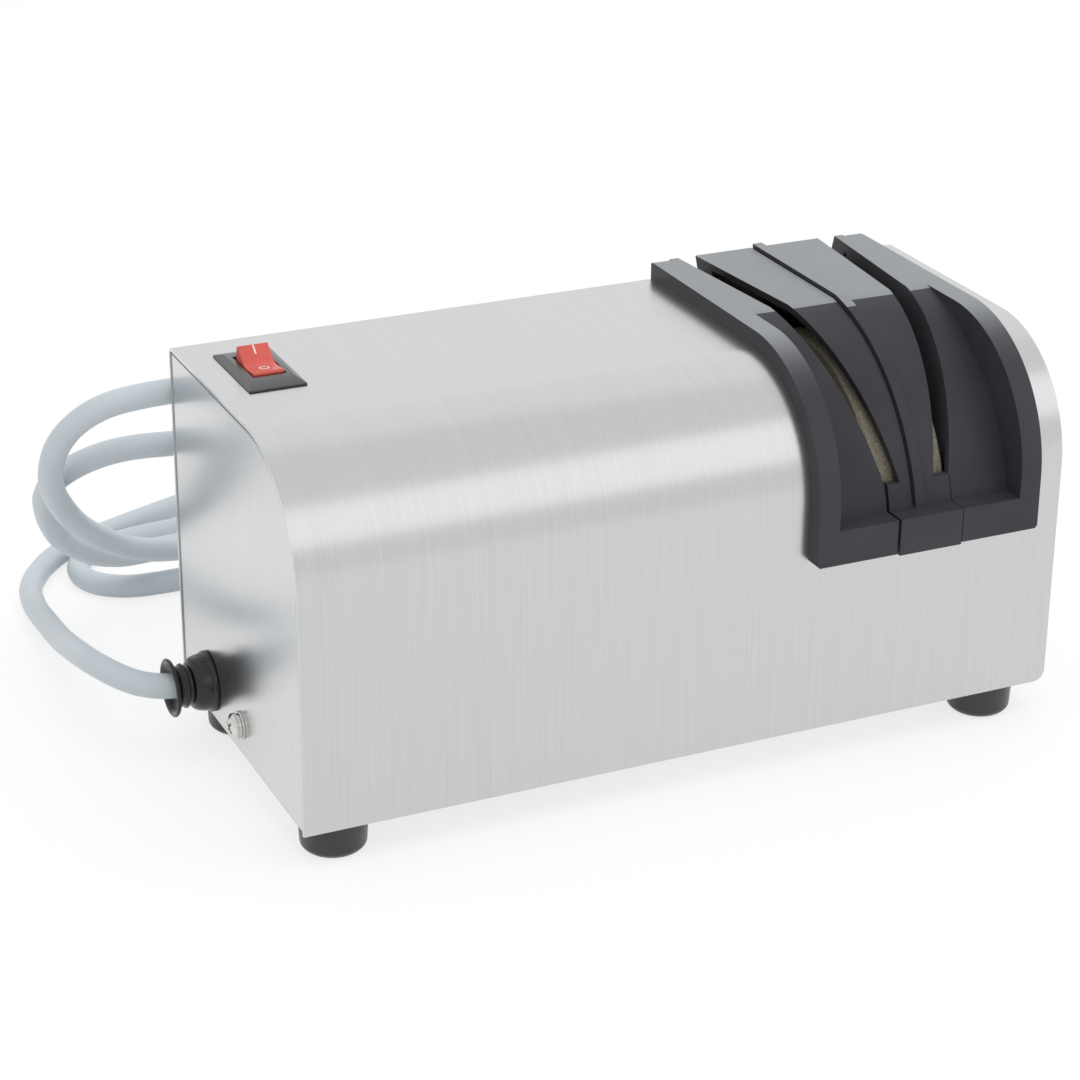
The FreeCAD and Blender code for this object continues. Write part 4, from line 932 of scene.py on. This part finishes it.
class SHARPENER_OT_feet(bpy.types.Operator):
    """Rubber feet with a rounded lower edge and a little dust"""
    bl_idname = "sharpener.feet"
    bl_label = "Rubber feet"

    def execute(self, context):
        black = moulded("foot rubber", (0.020, 0.020, 0.023), (0.36, 0.48), grain=1200.0, bump=0.15,
                        coat=0.3, specks=0.11)
        for node in FEET:
            foot = softened(node, node + "_rubber", FOOT_EDGE, segments=3, degrees=22.0)
            place_piece(foot, black, "housing", "foot_rubber", node)
        return {"FINISHED"}


class SHARPENER_OT_fasteners(bpy.types.Operator):
    """Bright plating on the screws, washers and nuts"""
    bl_idname = "sharpener.fasteners"
    bl_label = "Fasteners"

    def execute(self, context):
        nickel = turned_metal("nickel plate", (0.66, 0.655, 0.63), (0.14, 0.22))
        for node in ("base_screws", "foot_screws", "foot_nuts", "guide_screws", "motor_bolts",
                     "cradle_screws", "clip_screw", "ground_nut", "terminal_screws"):
            dress(NODES[node], nickel)
        for node, width in SCREW_EDGES.items():
            piece = softened(node, node + "_finished", width, degrees=30.0)
            place_piece(piece, nickel, "housing", "screw_steel", node)
        return {"FINISHED"}


class SHARPENER_OT_inner_pieces(bpy.types.Operator):
    """Finishes of the motor and the wiring inside the housing"""
    bl_idname = "sharpener.inner_pieces"
    bl_label = "Motor and wiring"

    def execute(self, context):
        core = brushed("laminated core", (0.16, 0.16, 0.17), (2600.0, 40.0, 40.0), (0.45, 0.6),
                       contrast=0.25, bump=0.4)
        copper = moulded("winding varnish", (0.42, 0.15, 0.05), (0.3, 0.45), grain=1100.0, bump=0.6)
        cast = turned_metal("cast alloy", (0.45, 0.46, 0.47), (0.45, 0.6))
        black = moulded("inner plastic", (0.03, 0.03, 0.032), (0.35, 0.5))
        nylon = moulded("block nylon", (0.72, 0.71, 0.66), (0.35, 0.5))
        brass = turned_metal("contact brass", (0.55, 0.45, 0.24), (0.2, 0.32))
        wire = moulded("wire jacket", (0.05, 0.05, 0.06), (0.35, 0.5))
        finishes = {
            "stator_stack": core, "rotor_core": core, "stator_winding": copper,
            "left_end_bell": cast, "right_end_bell": cast, "cooling_fan": black,
            "run_capacitor": black, "terminal_block": nylon, "switch_blades": brass,
            "plug_blades": brass, "plug_earth_pin": brass, "supply_cores": wire, "switch_leads": wire}
        for node, material in finishes.items():
            dress(NODES[node], material)
        return {"FINISHED"}


class SHARPENER_OT_stage(bpy.types.Operator):
    """Pale floor, soft lights and the camera at the photograph's view"""
    bl_idname = "sharpener.stage"
    bl_label = "Stage, lights and camera"

    def execute(self, context):
        self.floor(context)
        self.world(context)
        for light in SOFT_LIGHTS:
            self.softbox(context, *light)
        self.camera(context)
        return {"FINISHED"}

    def floor(self, context):
        """A plane that looks mostly plain white to the camera and the steel, and keeps its shadow."""
        pick()
        bpy.ops.mesh.primitive_plane_add(size=FLOOR_SIZE, location=(0, 0, FLOOR_Z))
        floor = context.object
        floor.name = "floor"
        material, nodes, links, shader = start_material("pale floor")
        shader.inputs["Base Color"].default_value = FLOOR_SHADE
        shader.inputs["Roughness"].default_value = FLOOR_ROUGHNESS
        shader.inputs["Specular IOR Level"].default_value = FLOOR_SPECULAR
        white = nodes.new("ShaderNodeEmission")
        white.inputs["Strength"].default_value = FLOOR_WHITE
        seen = self.seen_or_mirrored(nodes, links)
        mix = nodes.new("ShaderNodeMixShader")
        links.new(add_math(nodes, links, "MULTIPLY", seen, FLOOR_WHITE_SHARE), mix.inputs[0])
        links.new(shader.outputs[0], mix.inputs[1])
        links.new(white.outputs[0], mix.inputs[2])
        links.new(mix.outputs[0], nodes["Material Output"].inputs["Surface"])
        dress(floor, material)

    def seen_or_mirrored(self, nodes, links):
        """One for rays from the camera and from mirroring or clear surfaces."""
        path = nodes.new("ShaderNodeLightPath")
        last = path.outputs["Is Camera Ray"]
        for label in ("Is Glossy Ray", "Is Transmission Ray"):
            last = add_math(nodes, links, "MAXIMUM", last, path.outputs[label])
        return last

    def world(self, context):
        """White for the camera, a little less in reflections, and softer still as a lamp."""
        world = bpy.data.worlds.new("studio")
        context.scene.world = world
        world.use_nodes = True
        nodes, links = world.node_tree.nodes, world.node_tree.links
        background = nodes["Background"]
        background.inputs["Color"].default_value = (1.0, 1.0, 1.0, 1.0)
        mirrored = nodes.new("ShaderNodeMix")
        mirrored.inputs[2].default_value = WORLD_AS_LAMP
        mirrored.inputs[3].default_value = WORLD_MIRRORED
        links.new(self.seen_or_mirrored(nodes, links), mirrored.inputs[0])
        seen = nodes.new("ShaderNodeMix")
        seen.inputs[3].default_value = WORLD_SEEN
        links.new(nodes.new("ShaderNodeLightPath").outputs["Is Camera Ray"], seen.inputs[0])
        links.new(mirrored.outputs[0], seen.inputs[2])
        links.new(seen.outputs[0], background.inputs["Strength"])

    def softbox(self, context, name, place, target, size, power, mirrored):
        """A rectangular lamp that faces its target."""
        light = bpy.data.lights.new(name, "AREA")
        light.shape = "RECTANGLE"
        light.size, light.size_y = size
        light.energy = power
        box = bpy.data.objects.new(name, light)
        box.location = place
        box.rotation_euler = (Vector(target) - Vector(place)).to_track_quat("-Z", "Y").to_euler()
        box.visible_glossy = mirrored
        context.scene.collection.objects.link(box)

    def camera(self, context):
        """The photograph's view: azimuth, elevation and roll about its place."""
        data = bpy.data.cameras.new("camera")
        data.lens = VIEW_LENS
        data.sensor_width = VIEW_SENSOR
        data.clip_end = VIEW_DEPTH
        camera = bpy.data.objects.new("camera", data)
        turn = (Matrix.Rotation(VIEW_AZIMUTH, 4, "Z")
                @ Matrix.Rotation(math.pi / 2 - VIEW_ELEVATION, 4, "X")
                @ Matrix.Rotation(VIEW_ROLL, 4, "Z"))
        camera.matrix_world = Matrix.Translation(CORNER + VIEW_PLACE) @ turn
        context.scene.collection.objects.link(camera)
        context.scene.camera = camera


OPERATORS = (
    SHARPENER_OT_stage, SHARPENER_OT_cord, SHARPENER_OT_sheet_metal, SHARPENER_OT_guides,
    SHARPENER_OT_wheels, SHARPENER_OT_switch, SHARPENER_OT_feet, SHARPENER_OT_fasteners,
    SHARPENER_OT_inner_pieces)


class SHARPENER_PT_panel(bpy.types.Panel):
    """The sharpener's pieces and their values"""
    bl_label = "Knife sharpener"
    bl_idname = "SHARPENER_PT_panel"
    bl_space_type = "VIEW_3D"
    bl_region_type = "UI"
    bl_category = "Sharpener"

    def draw(self, context):
        layout = self.layout
        for owner in (context.scene.sharpener_sizes, context.scene.sharpener_colours):
            box = layout.box()
            for name in owner.__annotations__:
                box.prop(owner, name)
        for operator in OPERATORS:
            layout.operator(operator.bl_idname)


CLASSES = (SharpenerSizes, SharpenerColours) + OPERATORS + (SHARPENER_PT_panel,)


def register():
    for item in CLASSES:
        bpy.utils.register_class(item)
    bpy.types.Scene.sharpener_sizes = bpy.props.PointerProperty(type=SharpenerSizes)
    bpy.types.Scene.sharpener_colours = bpy.props.PointerProperty(type=SharpenerColours)


def unregister():
    del bpy.types.Scene.sharpener_colours
    del bpy.types.Scene.sharpener_sizes
    for item in reversed(CLASSES):
        bpy.utils.unregister_class(item)


def main():
    register()
    bpy.context.scene.view_settings.view_transform = "Standard"
    for operator in OPERATORS:
        family, name = operator.bl_idname.split(".")
        getattr(getattr(bpy.ops, family), name)()
    pick()


if __name__ == "__main__":
    main()
